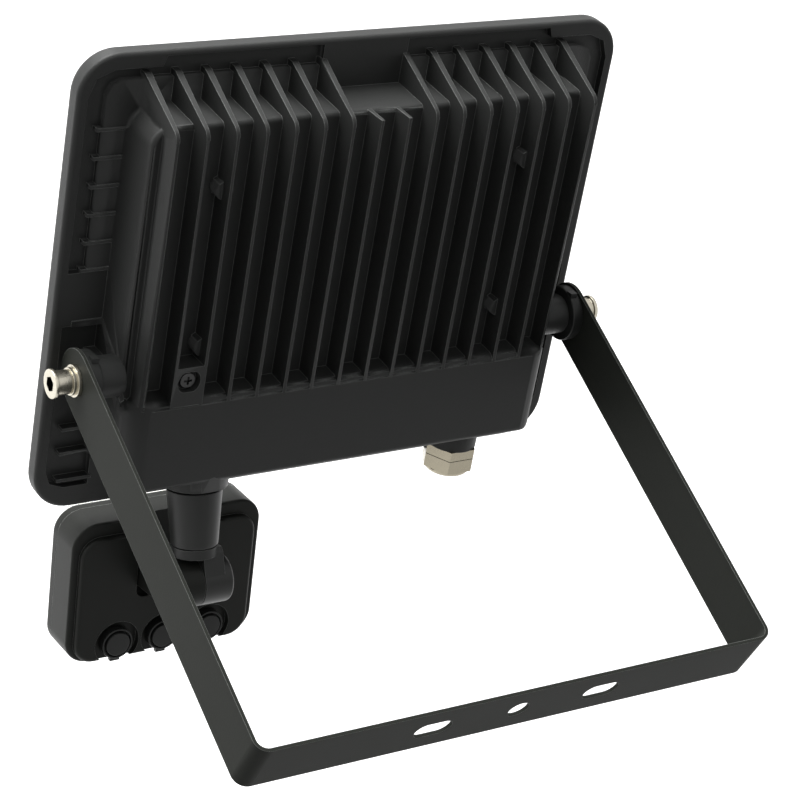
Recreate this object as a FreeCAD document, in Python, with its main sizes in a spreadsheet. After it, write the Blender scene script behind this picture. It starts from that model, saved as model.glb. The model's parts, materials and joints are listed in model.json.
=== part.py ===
import FreeCAD, Part
import math
import os
import Sketcher
from FreeCAD import Placement, Rotation, Vector

# Motion sensor floodlight on a U bracket, in millimetres.
# The part stands in the frame of its bracket: the wall face is the XZ plane, +Y leaves the wall, +Z is up.

doc = FreeCAD.newDocument("MotionSensorFloodlight")
sheet = doc.addObject("Spreadsheet::Sheet", "Sizes")


# Driving sizes

class Size:
    """A number together with the sheet expression that gives it."""

    def __init__(self, value, text):
        self.value = float(value)
        self.text = text

    def joined(self, sign, other, swapped=False):
        first, second = (lift(other), self) if swapped else (self, lift(other))
        x, y = first.value, second.value
        value = {"+": x + y, "-": x - y, "*": x * y, "/": x / y if y else 0.0}[sign]
        return Size(value, f"({first.text} {sign} {second.text})")

    def __add__(self, other):
        return self.joined("+", other)

    def __sub__(self, other):
        return self.joined("-", other)

    def __mul__(self, other):
        return self.joined("*", other)

    def __truediv__(self, other):
        return self.joined("/", other)

    def __radd__(self, other):
        return self.joined("+", other, True)

    def __rsub__(self, other):
        return self.joined("-", other, True)

    def __rmul__(self, other):
        return self.joined("*", other, True)

    def __neg__(self):
        return self.joined("*", -1)


def lift(number):
    """A plain number as a Size."""
    if isinstance(number, Size):
        return number
    return Size(number, f"({float(number)})")


def cosine(angle):
    return Size(math.cos(math.radians(angle.value)), f"cos({angle.text})")


def sine(angle):
    return Size(math.sin(math.radians(angle.value)), f"sin({angle.text})")


class Sizes:
    """The sheet's named sizes, one attribute each."""


SIZES = {
    # Bracket
    "strip_width": 21.0, "strip_thick": 1.2, "bend_inner": 3.6, "bracket_half": 97.4,
    "arm_length": 146.0, "slot_reach": 32.0, "slot_length": 13.6, "slot_width": 7.6, "centre_hole": 7.6,
    "bolt_clear": 6.16,
    # Posture
    "lamp_tilt": 24.0, "neck_lean": 15.0, "head_back": 10.0,
    # Rim and glass
    "rim_width": 204.0, "rim_height": 163.8, "rim_deep": 8.0, "rim_corner": 14.0, "rim_front_round": 3.4,
    "rim_back_round": 1.4, "pivot_up": 56.3, "pivot_back": 11.2, "glass_border": 5.0, "glass_thick": 3.0,
    "gasket_thick": 0.6, "ledge_deep": 3.7, "glass_gap": 0.3, "gasket_width": 4.5, "tray_border": 12.0,
    "tray_step": 0.9,
    # Back of the casting
    "body_half": 84.5, "body_draft": 4.3, "plateau_top": 90.4, "plateau_back": 16.0,
    "plateau_corner": 8.0, "plateau_round": 1.8, "box_back": 24.0, "box_top": -3.5, "box_bottom": -42.3,
    "box_corner": 9.0, "box_round": 3.0, "pocket_deep": 1.6, "pocket_outer": 105.7, "pocket_inner": 98.5,
    "groove_outer": 102.2, "groove_side": 98.4, "terrace_side": 92.0, "pocket_far": 72.4,
    "pocket_near": 16.0, "side_pocket_low": 32.7, "low_pocket_top": 13.5, "low_pocket_bottom": -48.0,
    # Fins
    "fin_pitch": 10.5, "fin_root": 2.4, "fin_tip": 1.3, "fin_foot": 100.6, "fin_shoulder": 89.7,
    "fin_short_end": 89.0, "fin_round": 4.0, "fin_bottom": -8.2, "foot_start": 87.5, "fin_sink": 0.9,
    # Side ribs and posts
    "rib_first": 81.8, "rib_pitch": 9.8, "rib_thick": 1.2, "rib_reach": 94.3, "rib_rise": 0.4,
    "end_rib_at": 13.2, "end_rib_thick": 2.2, "end_rib_reach": 95.2, "post_radius": 3.2,
    "post_back": 20.5, "post_column": 57.75, "post_high": 67.8, "post_low": 11.8, "pad_left": -67.6,
    "pad_right": -58.4, "pad_top": 6.8, "pad_screw_up": 1.4, "pad_recess": 3.7, "pad_recess_deep": 2.6,
    # Chambers and the boards in them
    "led_half": 79.0, "led_bottom": -1.0, "led_top": 85.5, "led_floor": 13.0, "driver_bottom": -37.0,
    "driver_top": -8.5, "driver_floor": 21.0, "chamber_corner": 5.0, "board_side_gap": 4.5,
    "board_end_gap": 3.5, "board_thick": 1.6, "board_screw_side": 9.0, "board_screw_end": 8.0,
    "screw_shank": 1.25, "chip_across": 11.7, "chip_up": 12.0, "chip_wide": 3.0, "chip_tall": 3.5,
    "driver_half": 40.0, "driver_post_side": 34.0, "driver_post_end": 3.5, "driver_post_tall": 3.0,
    # Pivots
    "boss_radius": 10.0, "boss_end": 90.0, "boss_start": 83.2, "web_thick": 7.0, "disc_radius": 10.4,
    "disc_gap": 0.05, "bolt_radius": 3.0, "bolt_head": 5.1, "bolt_head_long": 2.6, "bolt_standoff": 5.4,
    "bolt_depth": 8.6, "hex_key": 4.0, "hex_deep": 1.7, "washer_radius": 6.0, "washer_thick": 1.2,
    "spring_radius": 5.4, "spring_thick": 1.5, "bore_slack": 0.05,
    # Cable gland
    "gland_x": 55.2, "gland_z": 12.0, "gland_boss": 9.0, "gland_face": -46.3, "gland_thread": 7.6,
    "gland_across": 17.0, "gland_hex_long": 3.6, "gland_nut_long": 7.2, "gland_cable": 3.4,
    # Sensor neck
    "neck_x": -48.5, "neck_y": -48.3, "neck_z": 13.0, "lobe_radius": 10.8, "lobe_end": -47.3,
    "collar_top": 2.0, "collar_low": -19.3, "collar_top_radius": 9.6, "collar_low_radius": 8.0,
    "spigot_radius": 5.8, "spigot_up": 15.5, "pan_radius": 5.0, "pan_deep": 11.0, "ear_radius": 8.5,
    "ear_width": 11.0, "ear_gap": 0.15, "knuckle_drop": -33.0, "neck_spot": 12.05, "swivel_disc": 3.4,
    "knuckle_shank": 2.0, "knuckle_head": 3.4,
    # Sensor head
    "head_half": 36.3, "head_top": 16.3, "head_bottom": -37.6, "head_corner": 9.0, "head_plate": -18.4,
    "head_shoulder": -20.6, "head_parting": -33.0, "head_front": -37.5, "head_wall": 2.0,
    "room_deep": 6.5, "recess_deep": 5.0, "board_post": 2.0, "plate_inset": 2.6, "plate_top_inset": 5.0,
    "lens_radius": 34.6, "lens_half": 33.8, "lens_top": 12.0, "lens_bottom": -33.0, "lens_wall": 1.0,
    "knob_radius": 4.7, "knob_pitch": 17.8, "knob_up": -30.8, "knob_well": 8.4, "knob_well_deep": 2.4,
    "knob_long": 3.6, "knob_shaft": 2.5,
}


def fill_sheet():
    """Writes each size to the sheet under its name and returns them as attributes."""
    named = Sizes()
    for row, (alias, value) in enumerate(SIZES.items(), 1):
        sheet.set(f"A{row}", alias.replace("_", " "))
        sheet.set(f"B{row}", str(value))
        sheet.setAlias(f"B{row}", alias)
        setattr(named, alias, Size(value, f"Sizes.{alias}"))
    return named


d = fill_sheet()
doc.recompute()


# Frames of the moving groups

TURN_BACK = 90.0
X_AXIS = Vector(1, 0, 0)


def about_x(degrees):
    return Rotation(X_AXIS, degrees)


# The lamp's own frame: X to the right, Y up along the casting from the pivots, Z towards the wall.
LAMP = Placement(Vector(0, d.arm_length.value, 0), about_x(TURN_BACK - d.lamp_tilt.value)).multiply(
    Placement(Vector(0, 0, -d.pivot_back.value), Rotation()))
# The neck's frame: Y up along the collar, origin at its top.
NECK = LAMP.multiply(
    Placement(Vector(d.neck_x.value, d.neck_y.value, d.neck_z.value), about_x(-d.neck_lean.value)))
# The sensor head's frame: origin on the knuckle's axis.
HEAD = NECK.multiply(Placement(Vector(0, d.knuckle_drop.value, 0), about_x(d.head_back.value)))
WALL = Placement()

nodes = []


# Helpers for bodies, sketches and features

def body(name, frame):
    made = doc.addObject("PartDesign::Body", name)
    made.Label = name
    made.Placement = frame
    nodes.append(made)
    return made


def origin_item(owner, role):
    return [item for item in owner.Origin.OriginFeatures if item.Role == role][0]


def bind(item, path, size):
    item.setExpression(path, lift(size).text)


def sketch(owner, name, plane="XY_Plane", at=None):
    """An empty sketch on one of the body's own planes, moved along the plane's normal."""
    made = owner.newObject("Sketcher::SketchObject", name)
    made.AttachmentSupport = [(origin_item(owner, plane), "")]
    made.MapMode = "FlatFace"
    if at is not None:
        bind(made, "AttachmentOffset.Base.z", at)
    return made


def fix_point(sk, geometry, point, x, y):
    """Ties one point of a sketch to the origin in both directions."""
    for kind, size in (("DistanceX", lift(x)), ("DistanceY", lift(y))):
        if abs(size.value) < 1e-9:
            axis = -2 if kind == "DistanceX" else -1
            sk.addConstraint(Sketcher.Constraint("PointOnObject", geometry, point, axis))
            continue
        index = sk.addConstraint(Sketcher.Constraint(kind, -1, 1, geometry, point, size.value))
        sk.setExpression(f"Constraints[{index}]", size.text)


def fix_radius(sk, geometry, radius):
    index = sk.addConstraint(Sketcher.Constraint("Radius", geometry, lift(radius).value))
    sk.setExpression(f"Constraints[{index}]", lift(radius).text)


def polygon(sk, points):
    """A closed outline whose corners follow the given sizes."""
    spots = [Vector(lift(x).value, lift(y).value, 0) for x, y in points]
    count = len(spots)
    first = sk.GeometryCount
    for k in range(count):
        sk.addGeometry(Part.LineSegment(spots[k], spots[(k + 1) % count]), False)
    for k in range(count):
        sk.addConstraint(Sketcher.Constraint("Coincident", first + k, 2, first + (k + 1) % count, 1))
        fix_point(sk, first + k, 1, *points[k])


def circle(sk, x, y, radius):
    number = sk.addGeometry(
        Part.Circle(Vector(lift(x).value, lift(y).value, 0), Vector(0, 0, 1), lift(radius).value), False)
    fix_radius(sk, number, radius)
    fix_point(sk, number, 3, x, y)


def rounded_box(sk, left, right, bottom, top, corner):
    """A rectangle with equal round corners."""
    x0, x1, y0, y1, r = (lift(v).value for v in (left, right, bottom, top, corner))
    first = sk.GeometryCount
    ends = (((x0 + r, y0), (x1 - r, y0)), ((x1, y0 + r), (x1, y1 - r)),
            ((x1 - r, y1), (x0 + r, y1)), ((x0, y1 - r), (x0, y0 + r)))
    centres = ((x1 - r, y0 + r), (x1 - r, y1 - r), (x0 + r, y1 - r), (x0 + r, y0 + r))
    quarter = 1.5707963267948966
    for k in range(4):
        (ax, ay), (bx, by) = ends[k]
        sk.addGeometry(Part.LineSegment(Vector(ax, ay, 0), Vector(bx, by, 0)), False)
        centre = Vector(centres[k][0], centres[k][1], 0)
        ring = Part.Circle(centre, Vector(0, 0, 1), r)
        sk.addGeometry(Part.ArcOfCircle(ring, (k - 1) * quarter, k * quarter), False)
    for k in range(4):
        line, arc, following = first + 2 * k, first + 2 * k + 1, first + (2 * k + 2) % 8
        sk.addConstraint(Sketcher.Constraint("Tangent", line, 2, arc, 1))
        sk.addConstraint(Sketcher.Constraint("Tangent", arc, 2, following, 1))
        sk.addConstraint(Sketcher.Constraint("Horizontal" if k % 2 == 0 else "Vertical", line))
        if k:
            sk.addConstraint(Sketcher.Constraint("Equal", first + 1, arc))
    fix_radius(sk, first + 1, corner)
    for line, kind, size in ((0, "DistanceY", bottom), (2, "DistanceX", right), (4, "DistanceY", top),
                             (6, "DistanceX", left)):
        index = sk.addConstraint(Sketcher.Constraint(kind, -1, 1, first + line, 1, lift(size).value))
        sk.setExpression(f"Constraints[{index}]", lift(size).text)


def hexagon(sk, x, y, across):
    """A regular hexagon with the given distance between flats."""
    flat = lift(across) / 2
    corner = flat * 1.1547005383792515
    polygon(sk, [(x + corner * cos6, y + corner * sin6) for cos6, sin6 in (
        (1, 0), (0.5, 0.8660254037844386), (-0.5, 0.8660254037844386),
        (-1, 0), (-0.5, -0.8660254037844386), (0.5, -0.8660254037844386))])


def pad(owner, sk, length, back=False, both=False, draft=None):
    made = owner.newObject("PartDesign::Pad", sk.Name + "_pad")
    made.Profile = sk
    bind(made, "Length", length)
    made.Reversed = back
    if both:
        made.SideType = "Symmetric"
    if draft is not None:
        bind(made, "TaperAngle", -lift(draft))
    sk.Visibility = False
    doc.recompute()
    return made


def cut(owner, sk, length=None, back=False, both=False, draft=None):
    made = owner.newObject("PartDesign::Pocket", sk.Name + "_cut")
    made.Profile = sk
    if length is None:
        made.Type = "ThroughAll"
    else:
        bind(made, "Length", length)
    made.Reversed = back
    if both:
        made.SideType = "Symmetric"
    if draft is not None:
        bind(made, "TaperAngle", -lift(draft))
    doc.recompute()
    return made


def turn(owner, sk, axis="H_Axis", kind="Revolution"):
    made = owner.newObject("PartDesign::" + kind, sk.Name + "_turn")
    made.Profile = sk
    made.ReferenceAxis = (sk, [axis])
    made.Angle = 360
    doc.recompute()
    return made


def soften(owner, radius, chosen, kind="Fillet"):
    """Rounds or bevels the tip shape's edges for which chosen(edge) holds."""
    tip = owner.Tip
    names = [f"Edge{n}" for n, edge in enumerate(tip.Shape.Edges, 1) if chosen(edge)]
    made = owner.newObject("PartDesign::" + kind, f"{owner.Name}_{kind}_{len(owner.Group)}")
    made.Base = (tip, names)
    bind(made, "Radius" if kind == "Fillet" else "Size", radius)
    doc.recompute()
    return made


def repeat(owner, feature, axis, step, count):
    made = owner.newObject("PartDesign::LinearPattern", feature.Name + "_row")
    made.Originals = [feature]
    made.Direction = (origin_item(owner, axis), [""])
    made.Mode = "Spacing"
    bind(made, "Offset", step)
    made.Occurrences = count
    owner.Tip = made
    doc.recompute()
    return made


def mirror(owner, features, plane="YZ_Plane"):
    made = owner.newObject("PartDesign::Mirrored", features[0].Name + "_mirror")
    made.Originals = features
    made.MirrorPlane = (origin_item(owner, plane), [""])
    owner.Tip = made
    doc.recompute()
    return made


def flat_at(edge, axis, level, slack=1e-4):
    """True for an edge that lies wholly at one level of an axis."""
    box = edge.BoundBox
    low, high = {"x": (box.XMin, box.XMax), "y": (box.YMin, box.YMax), "z": (box.ZMin, box.ZMax)}[axis]
    return abs(low - level) < slack and abs(high - level) < slack


def disc(owner, name, plane, at, x, y, radius, length, back=False):
    sk = sketch(owner, name, plane, at)
    circle(sk, x, y, radius)
    return pad(owner, sk, length, back)


# Shared heights of the lamp

rim_low = -d.pivot_up
rim_high = d.rim_height - d.pivot_up
rim_half = d.rim_width / 2
ledge = d.ledge_deep - d.rim_deep
tray_face = ledge + d.tray_step


# Bracket: a flat strip bent to a U

def make_bracket():
    b = body("bracket", WALL)
    outer, thick = d.bracket_half, d.strip_thick
    end = d.arm_length + d.strip_width / 2
    profile = sketch(b, "bracket_strip", "XY_Plane")
    polygon(profile, [(-outer, end), (-outer, 0), (outer, 0), (outer, end), (outer - thick, end),
                      (outer - thick, thick), (thick - outer, thick), (thick - outer, end)])
    pad(b, profile, d.strip_width, both=True)
    half, sheet_in = outer.value, (outer - thick).value
    soften(b, d.bend_inner + d.strip_thick, lambda e: flat_at(e, "y", 0) and (
        flat_at(e, "x", half) or flat_at(e, "x", -half)))
    soften(b, d.bend_inner, lambda e: flat_at(e, "y", thick.value) and (
        flat_at(e, "x", sheet_in) or flat_at(e, "x", -sheet_in)))
    wide = d.strip_width.value / 2
    soften(b, d.strip_width / 2 - 0.05, lambda e: flat_at(e, "y", end.value) and (
        flat_at(e, "z", wide) or flat_at(e, "z", -wide)))
    holes = sketch(b, "bracket_pivot_holes", "YZ_Plane")
    circle(holes, d.arm_length, 0, d.bolt_clear / 2)
    cut(b, holes, both=True)
    centre = sketch(b, "bracket_centre_hole", "XZ_Plane")
    circle(centre, 0, 0, d.centre_hole / 2)
    cut(b, centre, d.strip_thick * 4, both=True)
    slots = sketch(b, "bracket_slots", "XZ_Plane")
    reach, long_half, wide_half = d.slot_reach, d.slot_length / 2, d.slot_width / 2
    for side in (-1, 1):
        rounded_box(slots, side * reach - long_half, side * reach + long_half, -wide_half, wide_half,
                    wide_half - 0.01)
    cut(b, slots, d.strip_thick * 4, both=True)
    return b


# Housing: the finned casting

def fin_row(b, name, first, count, level, start, end):
    """Equal fins from one column on, tapered from the casting up to their tips."""
    centre = d.fin_pitch * first
    taper = (d.fin_root - d.fin_tip) / 2 / (d.box_back + 2)
    tip = d.fin_tip / 2
    foot = tip + taper * (d.box_back - level)
    profile = sketch(b, name, "XZ_Plane", -start)
    polygon(profile, [(centre - foot, level), (centre + foot, level), (centre + tip, d.box_back),
                      (centre - tip, d.box_back)])
    fin = pad(b, profile, end - start, back=True)
    repeat(b, fin, "X_Axis", d.fin_pitch, count)


def add_fins(b):
    """Sixteen fins; all but the middle two run on down a slope and stand on the flange."""
    fin_row(b, "fin", -7.5, 16, d.plateau_back - d.fin_sink, d.fin_bottom, d.fin_short_end)
    fin_row(b, "foot_left", -7.5, 7, -d.pocket_deep - 0.4, d.foot_start, d.fin_foot)
    fin_row(b, "foot_right", 1.5, 7, -d.pocket_deep - 0.4, d.foot_start, d.fin_foot)
    slope = sketch(b, "fin_slope", "YZ_Plane")
    polygon(slope, [(d.fin_foot, 0), (d.fin_shoulder, d.box_back), (d.fin_foot + 1, d.box_back + 1),
                    (d.fin_foot + 1, 0)])
    cut(b, slope, both=True)
    shoulder, level = d.fin_shoulder.value, d.box_back.value
    soften(b, d.fin_round, lambda e: flat_at(e, "y", shoulder, 1e-3) and flat_at(e, "z", level, 1e-3))


def add_back_pockets(b):
    """Shallow recesses between the rim band and the raised middle."""
    pockets = sketch(b, "back_pockets", "XY_Plane")
    for side in (-1, 1):
        polygon(pockets, [(side * d.pocket_near, d.pocket_inner), (side * d.pocket_far, d.pocket_inner),
                          (side * (d.terrace_side - 5), d.pocket_inner),
                          (side * (d.terrace_side - 1.6), d.pocket_inner - 1.6),
                          (side * d.terrace_side, d.pocket_inner - 5),
                          (side * d.terrace_side, d.side_pocket_low),
                          (side * d.groove_side, d.side_pocket_low),
                          (side * d.groove_side, d.groove_outer - 9),
                          (side * (d.groove_side - 2.4), d.groove_outer - 2.6),
                          (side * (d.groove_side - 8.5), d.groove_outer),
                          (side * (d.pocket_far + 1.2), d.groove_outer),
                          (side * d.pocket_far, d.pocket_outer), (side * d.pocket_near, d.pocket_outer)])
        polygon(pockets, [(side * (d.body_half - 2), d.low_pocket_top),
                          (side * d.groove_side, d.low_pocket_top),
                          (side * d.groove_side, d.low_pocket_bottom + 7),
                          (side * (d.groove_side - 2), d.low_pocket_bottom + 2),
                          (side * (d.groove_side - 7), d.low_pocket_bottom),
                          (side * (d.body_half - 2), d.low_pocket_bottom)])
    cut(b, pockets, d.pocket_deep)


def add_side_ribs(b):
    """The ladder of thin ribs on both flanks and the two low cells."""
    row = sketch(b, "side_ribs", "XY_Plane", -d.pocket_deep - 0.3)
    for side in (-1, 1):
        polygon(row, [(side * (d.body_half - 3), d.rib_first), (side * d.rib_reach, d.rib_first),
                      (side * d.rib_reach, d.rib_first + d.rib_thick),
                      (side * (d.body_half - 3), d.rib_first + d.rib_thick)])
    ribs = pad(b, row, d.pocket_deep + 0.3 + d.rib_rise)
    rows = repeat(b, ribs, "Y_Axis", d.rib_pitch, 6)
    rows.Reversed = True
    low = sketch(b, "low_ribs", "XY_Plane", -d.pocket_deep - 0.3)
    for side in (-1, 1):
        for at, thick, reach in ((d.end_rib_at, d.end_rib_thick, d.end_rib_reach),
                                 (lift(-26.0), d.rib_thick, d.rib_reach),
                                 (lift(-35.2), d.rib_thick, d.rib_reach),
                                 (lift(-45.6), d.rib_thick, d.rib_reach)):
            polygon(low, [(side * (d.body_half - 3), at), (side * reach, at), (side * reach, at + thick),
                          (side * (d.body_half - 3), at + thick)])
    pad(b, low, d.pocket_deep + 0.3 + d.rib_rise)


def add_chambers(b):
    """Glass ledge, tray seat, LED chamber and driver chamber, all open to the front."""
    for name, border, corner, level in (("glass_seat", d.glass_border, 9.0, ledge),
                                        ("tray_seat", d.tray_border, 6.0, tray_face)):
        seat = sketch(b, name, "XY_Plane", -d.rim_deep)
        rounded_box(seat, border - rim_half, rim_half - border, rim_low + border, rim_high - border, corner)
        cut(b, seat, level + d.rim_deep, back=True)
    for name, low, high, floor in (("led_room", d.led_bottom, d.led_top, d.led_floor),
                                   ("driver_room", d.driver_bottom, d.driver_top, d.driver_floor)):
        room = sketch(b, name, "XY_Plane", tray_face - 0.5)
        rounded_box(room, -d.led_half, d.led_half, low, high, d.chamber_corner)
        cut(b, room, floor - tray_face + 0.5, back=True)


def add_pivot_bosses(b):
    """Round bosses on both flanks, each on a web that ties it to the flange."""
    boss = sketch(b, "pivot_boss", "YZ_Plane", d.boss_start)
    circle(boss, 0, d.pivot_back, d.boss_radius)
    round_part = pad(b, boss, d.boss_end - d.boss_start)
    web = sketch(b, "pivot_web", "YZ_Plane", d.boss_start)
    polygon(web, [(-d.web_thick / 2, -d.pocket_deep - 0.4), (d.web_thick / 2, -d.pocket_deep - 0.4),
                  (d.web_thick / 2, d.pivot_back - 6), (-d.web_thick / 2, d.pivot_back - 6)])
    flat_part = pad(b, web, d.boss_end - d.boss_start - 1.5)
    mirror(b, [round_part, flat_part])


def add_neck_seat(b):
    """The round lobe that carries the sensor's neck, with its leaning bore."""
    disc(b, "neck_lobe", "XZ_Plane", -d.lobe_end, d.neck_x, d.box_back - d.lobe_radius, d.lobe_radius,
         d.driver_bottom - d.lobe_end + 1, back=True)


def lean_sketch(b, name, up):
    """A sketch square to the neck's axis, at a height above the collar's upper face plane."""
    sk = sketch(b, name, "XZ_Plane", -(d.neck_y + lift(up) * cosine(d.neck_lean)))
    bind(sk, "AttachmentOffset.Base.x", d.neck_x)
    bind(sk, "AttachmentOffset.Base.y", d.neck_z - lift(up) * sine(d.neck_lean))
    sk.AttachmentOffset = Placement(sk.AttachmentOffset.Base, about_x(-d.neck_lean.value))
    return sk


def add_bores(b):
    """Threads and bores of the pivots, the gland, the neck and the circuit boards."""
    pivots = sketch(b, "pivot_taps", "YZ_Plane", d.boss_end)
    circle(pivots, 0, d.pivot_back, d.bolt_radius + 0.02)
    pivot_tap = cut(b, pivots, d.bolt_depth + 0.6)
    mirror(b, [pivot_tap])
    bore = sketch(b, "gland_bore", "XZ_Plane", -d.gland_face)
    circle(bore, d.gland_x, d.gland_z, d.gland_thread + 0.05)
    cut(b, bore, d.driver_bottom - d.gland_face + 1)
    seat = lean_sketch(b, "neck_seat", -6)
    circle(seat, 0, 0, d.collar_top_radius + 0.1)
    cut(b, seat, d.collar_top + 2.2 + 6)
    spigot = lean_sketch(b, "neck_bore", 0)
    circle(spigot, 0, 0, d.spigot_radius + d.bore_slack)
    cut(b, spigot, d.spigot_up + 1.2)
    spot = lean_sketch(b, "neck_spot_face", d.neck_spot)
    circle(spot, 0, 0, 9.4)
    cut(b, spot, lift(6))
    taps = sketch(b, "board_taps", "XY_Plane", d.led_floor)
    for x, y in BOARD_SCREWS:
        circle(taps, x, y, d.screw_shank + 0.1)
    cut(b, taps, lift(2.0), back=True)
    stand = sketch(b, "driver_posts", "XY_Plane", d.driver_floor)
    for x, y in DRIVER_POSTS:
        circle(stand, x, y, 2.6)
    pad(b, stand, lift(3.0), back=True)


def add_posts_and_screw(b):
    """Round ejector posts on four fins, and the pad that holds the small screw."""
    posts = sketch(b, "ejector_posts", "XY_Plane", d.plateau_back - 1)
    for side in (-1, 1):
        for up in (d.post_high, d.post_low):
            circle(posts, side * d.post_column, up, d.post_radius)
    pad(b, posts, d.post_back - d.plateau_back + 1)
    screw_pad = sketch(b, "screw_pad", "XY_Plane", d.plateau_back - 1)
    polygon(screw_pad, [(d.pad_left, d.box_top - 4), (d.pad_right, d.box_top - 4), (d.pad_right, d.pad_top),
                        (d.pad_left, d.pad_top)])
    pad(b, screw_pad, d.box_back - d.plateau_back + 1)
    for name, radius, deep in (("screw_recess", d.pad_recess, 0), ("screw_tap", lift(1.3), 5)):
        sink = sketch(b, name, "XY_Plane", d.box_back)
        circle(sink, (d.pad_left + d.pad_right) / 2, d.pad_screw_up, radius)
        cut(b, sink, d.pad_recess_deep + deep)


def make_housing():
    b = body("housing", LAMP)
    rim = sketch(b, "rim", "XY_Plane", -d.rim_deep)
    rounded_box(rim, -rim_half, rim_half, rim_low, rim_high, d.rim_corner)
    pad(b, rim, d.rim_deep)
    soften(b, d.rim_front_round, lambda e: flat_at(e, "z", -d.rim_deep.value))
    soften(b, d.rim_back_round, lambda e: flat_at(e, "z", 0))
    add_back_pockets(b)
    plateau = sketch(b, "plateau", "XY_Plane", -2)
    rounded_box(plateau, -d.body_half, d.body_half, d.box_bottom + 6, d.plateau_top, d.plateau_corner)
    pad(b, plateau, d.plateau_back + 2, draft=d.body_draft)
    soften(b, d.plateau_round, lambda e: flat_at(e, "z", d.plateau_back.value))
    box = sketch(b, "driver_box", "XY_Plane", -2)
    rounded_box(box, -d.body_half, d.body_half, d.box_bottom, d.box_top, d.box_corner)
    pad(b, box, d.box_back + 2, draft=d.body_draft)
    soften(b, d.box_round, lambda e: flat_at(e, "z", d.box_back.value))
    add_neck_seat(b)
    disc(b, "gland_boss", "XZ_Plane", -d.gland_face, d.gland_x, d.gland_z, d.gland_boss,
         d.driver_bottom - d.gland_face + 1, back=True)
    add_pivot_bosses(b)
    add_chambers(b)
    add_bores(b)
    add_fins(b)
    add_side_ribs(b)
    add_posts_and_screw(b)
    return b


BOARD_SCREWS = [(side * (d.led_half - d.board_screw_side), end) for side in (-1, 0, 1)
                for end in (d.led_bottom + d.board_screw_end, d.led_top - d.board_screw_end)]
DRIVER_POSTS = [(side * d.driver_post_side, end) for side in (-1, 1)
                for end in (d.driver_bottom + d.driver_post_end, d.driver_top - d.driver_post_end)]


# Glass, gasket, tray and light source

def make_glass():
    b = body("glass", LAMP)
    border = d.glass_border + d.glass_gap
    pane = sketch(b, "pane", "XY_Plane", ledge - d.gasket_thick - d.glass_thick)
    rounded_box(pane, border - rim_half, rim_half - border, rim_low + border, rim_high - border, 8.7)
    pad(b, pane, d.glass_thick)
    soften(b, lift(0.5), lambda e: flat_at(e, "z", (ledge - d.gasket_thick - d.glass_thick).value),
           "Chamfer")
    return b


def make_gasket():
    b = body("glass_gasket", LAMP)
    border = d.glass_border + d.glass_gap
    inner = border + d.gasket_width
    ring = sketch(b, "seal", "XY_Plane", ledge - d.gasket_thick)
    rounded_box(ring, border - rim_half, rim_half - border, rim_low + border, rim_high - border, 8.7)
    rounded_box(ring, inner - rim_half, rim_half - inner, rim_low + inner, rim_high - inner, 5.0)
    pad(b, ring, d.gasket_thick)
    return b


def make_reflector():
    b = body("reflector", LAMP)
    edge = d.tray_border + 0.3
    thick = lift(0.8)
    plate = sketch(b, "tray_plate", "XY_Plane", tray_face)
    rounded_box(plate, edge - rim_half, rim_half - edge, rim_low + edge, rim_high - edge, 5.7)
    pad(b, plate, thick, back=True)
    well = sketch(b, "tray_well", "XY_Plane", tray_face)
    rounded_box(well, -d.led_half + 0.6, d.led_half - 0.6, d.led_bottom + 0.6, d.led_top - 0.6, 4.4)
    pad(b, well, lift(12.2), draft=lift(22))
    hollow = sketch(b, "tray_hollow", "XY_Plane", tray_face - thick)
    rounded_box(hollow, -d.led_half + 1.8, d.led_half - 1.8, d.led_bottom + 1.8, d.led_top - 1.8, 3.8)
    cut(b, hollow, lift(14), back=True, draft=lift(22))
    return b


def make_led_board():
    b = body("led_board", LAMP)
    plate = sketch(b, "board", "XY_Plane", d.led_floor - d.board_thick)
    half = d.led_half - d.board_side_gap
    rounded_box(plate, -half, half, d.led_bottom + d.board_end_gap, d.led_top - d.board_end_gap, 3.0)
    pad(b, plate, d.board_thick)
    holes = sketch(b, "board_holes", "XY_Plane", d.led_floor)
    for x, y in BOARD_SCREWS:
        circle(holes, x, y, d.screw_shank + 0.35)
    cut(b, holes)
    return b


def make_led_chips():
    """Five rows of eleven light chips, in the middle of their board."""
    b = body("led_chips", LAMP)
    chip = sketch(b, "chip", "XY_Plane", d.led_floor - d.board_thick)
    left = -d.chip_across * 5 - d.chip_wide / 2
    middle = (d.led_bottom + d.led_top) / 2 - d.chip_tall / 2
    for k in range(-2, 3):
        low = middle + d.chip_up * k
        polygon(chip, [(left, low), (left + d.chip_wide, low), (left + d.chip_wide, low + d.chip_tall),
                       (left, low + d.chip_tall)])
    column = pad(b, chip, lift(0.7), back=True)
    repeat(b, column, "X_Axis", d.chip_across, 11)
    return b


def screw_group(name, frame, spots, level, head, head_long, shank, shank_long, drive):
    """Pan head screws that stand on one level and point along +Z."""
    b = body(name, frame)
    heads = sketch(b, name + "_heads", "XY_Plane", level)
    stems = sketch(b, name + "_stems", "XY_Plane", level)
    slots = sketch(b, name + "_drives", "XY_Plane", level - head_long)
    for x, y in spots:
        circle(heads, x, y, lift(head))
        circle(stems, x, y, lift(shank))
        wide, deep = drive * 0.16, drive / 2
        polygon(slots, [(x - wide, y - deep), (x + wide, y - deep), (x + wide, y - wide), (x + deep, y - wide),
                        (x + deep, y + wide), (x + wide, y + wide), (x + wide, y + deep), (x - wide, y + deep),
                        (x - wide, y + wide), (x - deep, y + wide), (x - deep, y - wide), (x - wide, y - wide)])
    pad(b, heads, lift(head_long), back=True)
    face = (lift(level) - head_long).value
    soften(b, lift(head_long) * 0.45, lambda e: flat_at(e, "z", face))
    pad(b, stems, lift(shank_long))
    cut(b, slots, lift(head_long) * 0.6, back=True)
    return b


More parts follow.
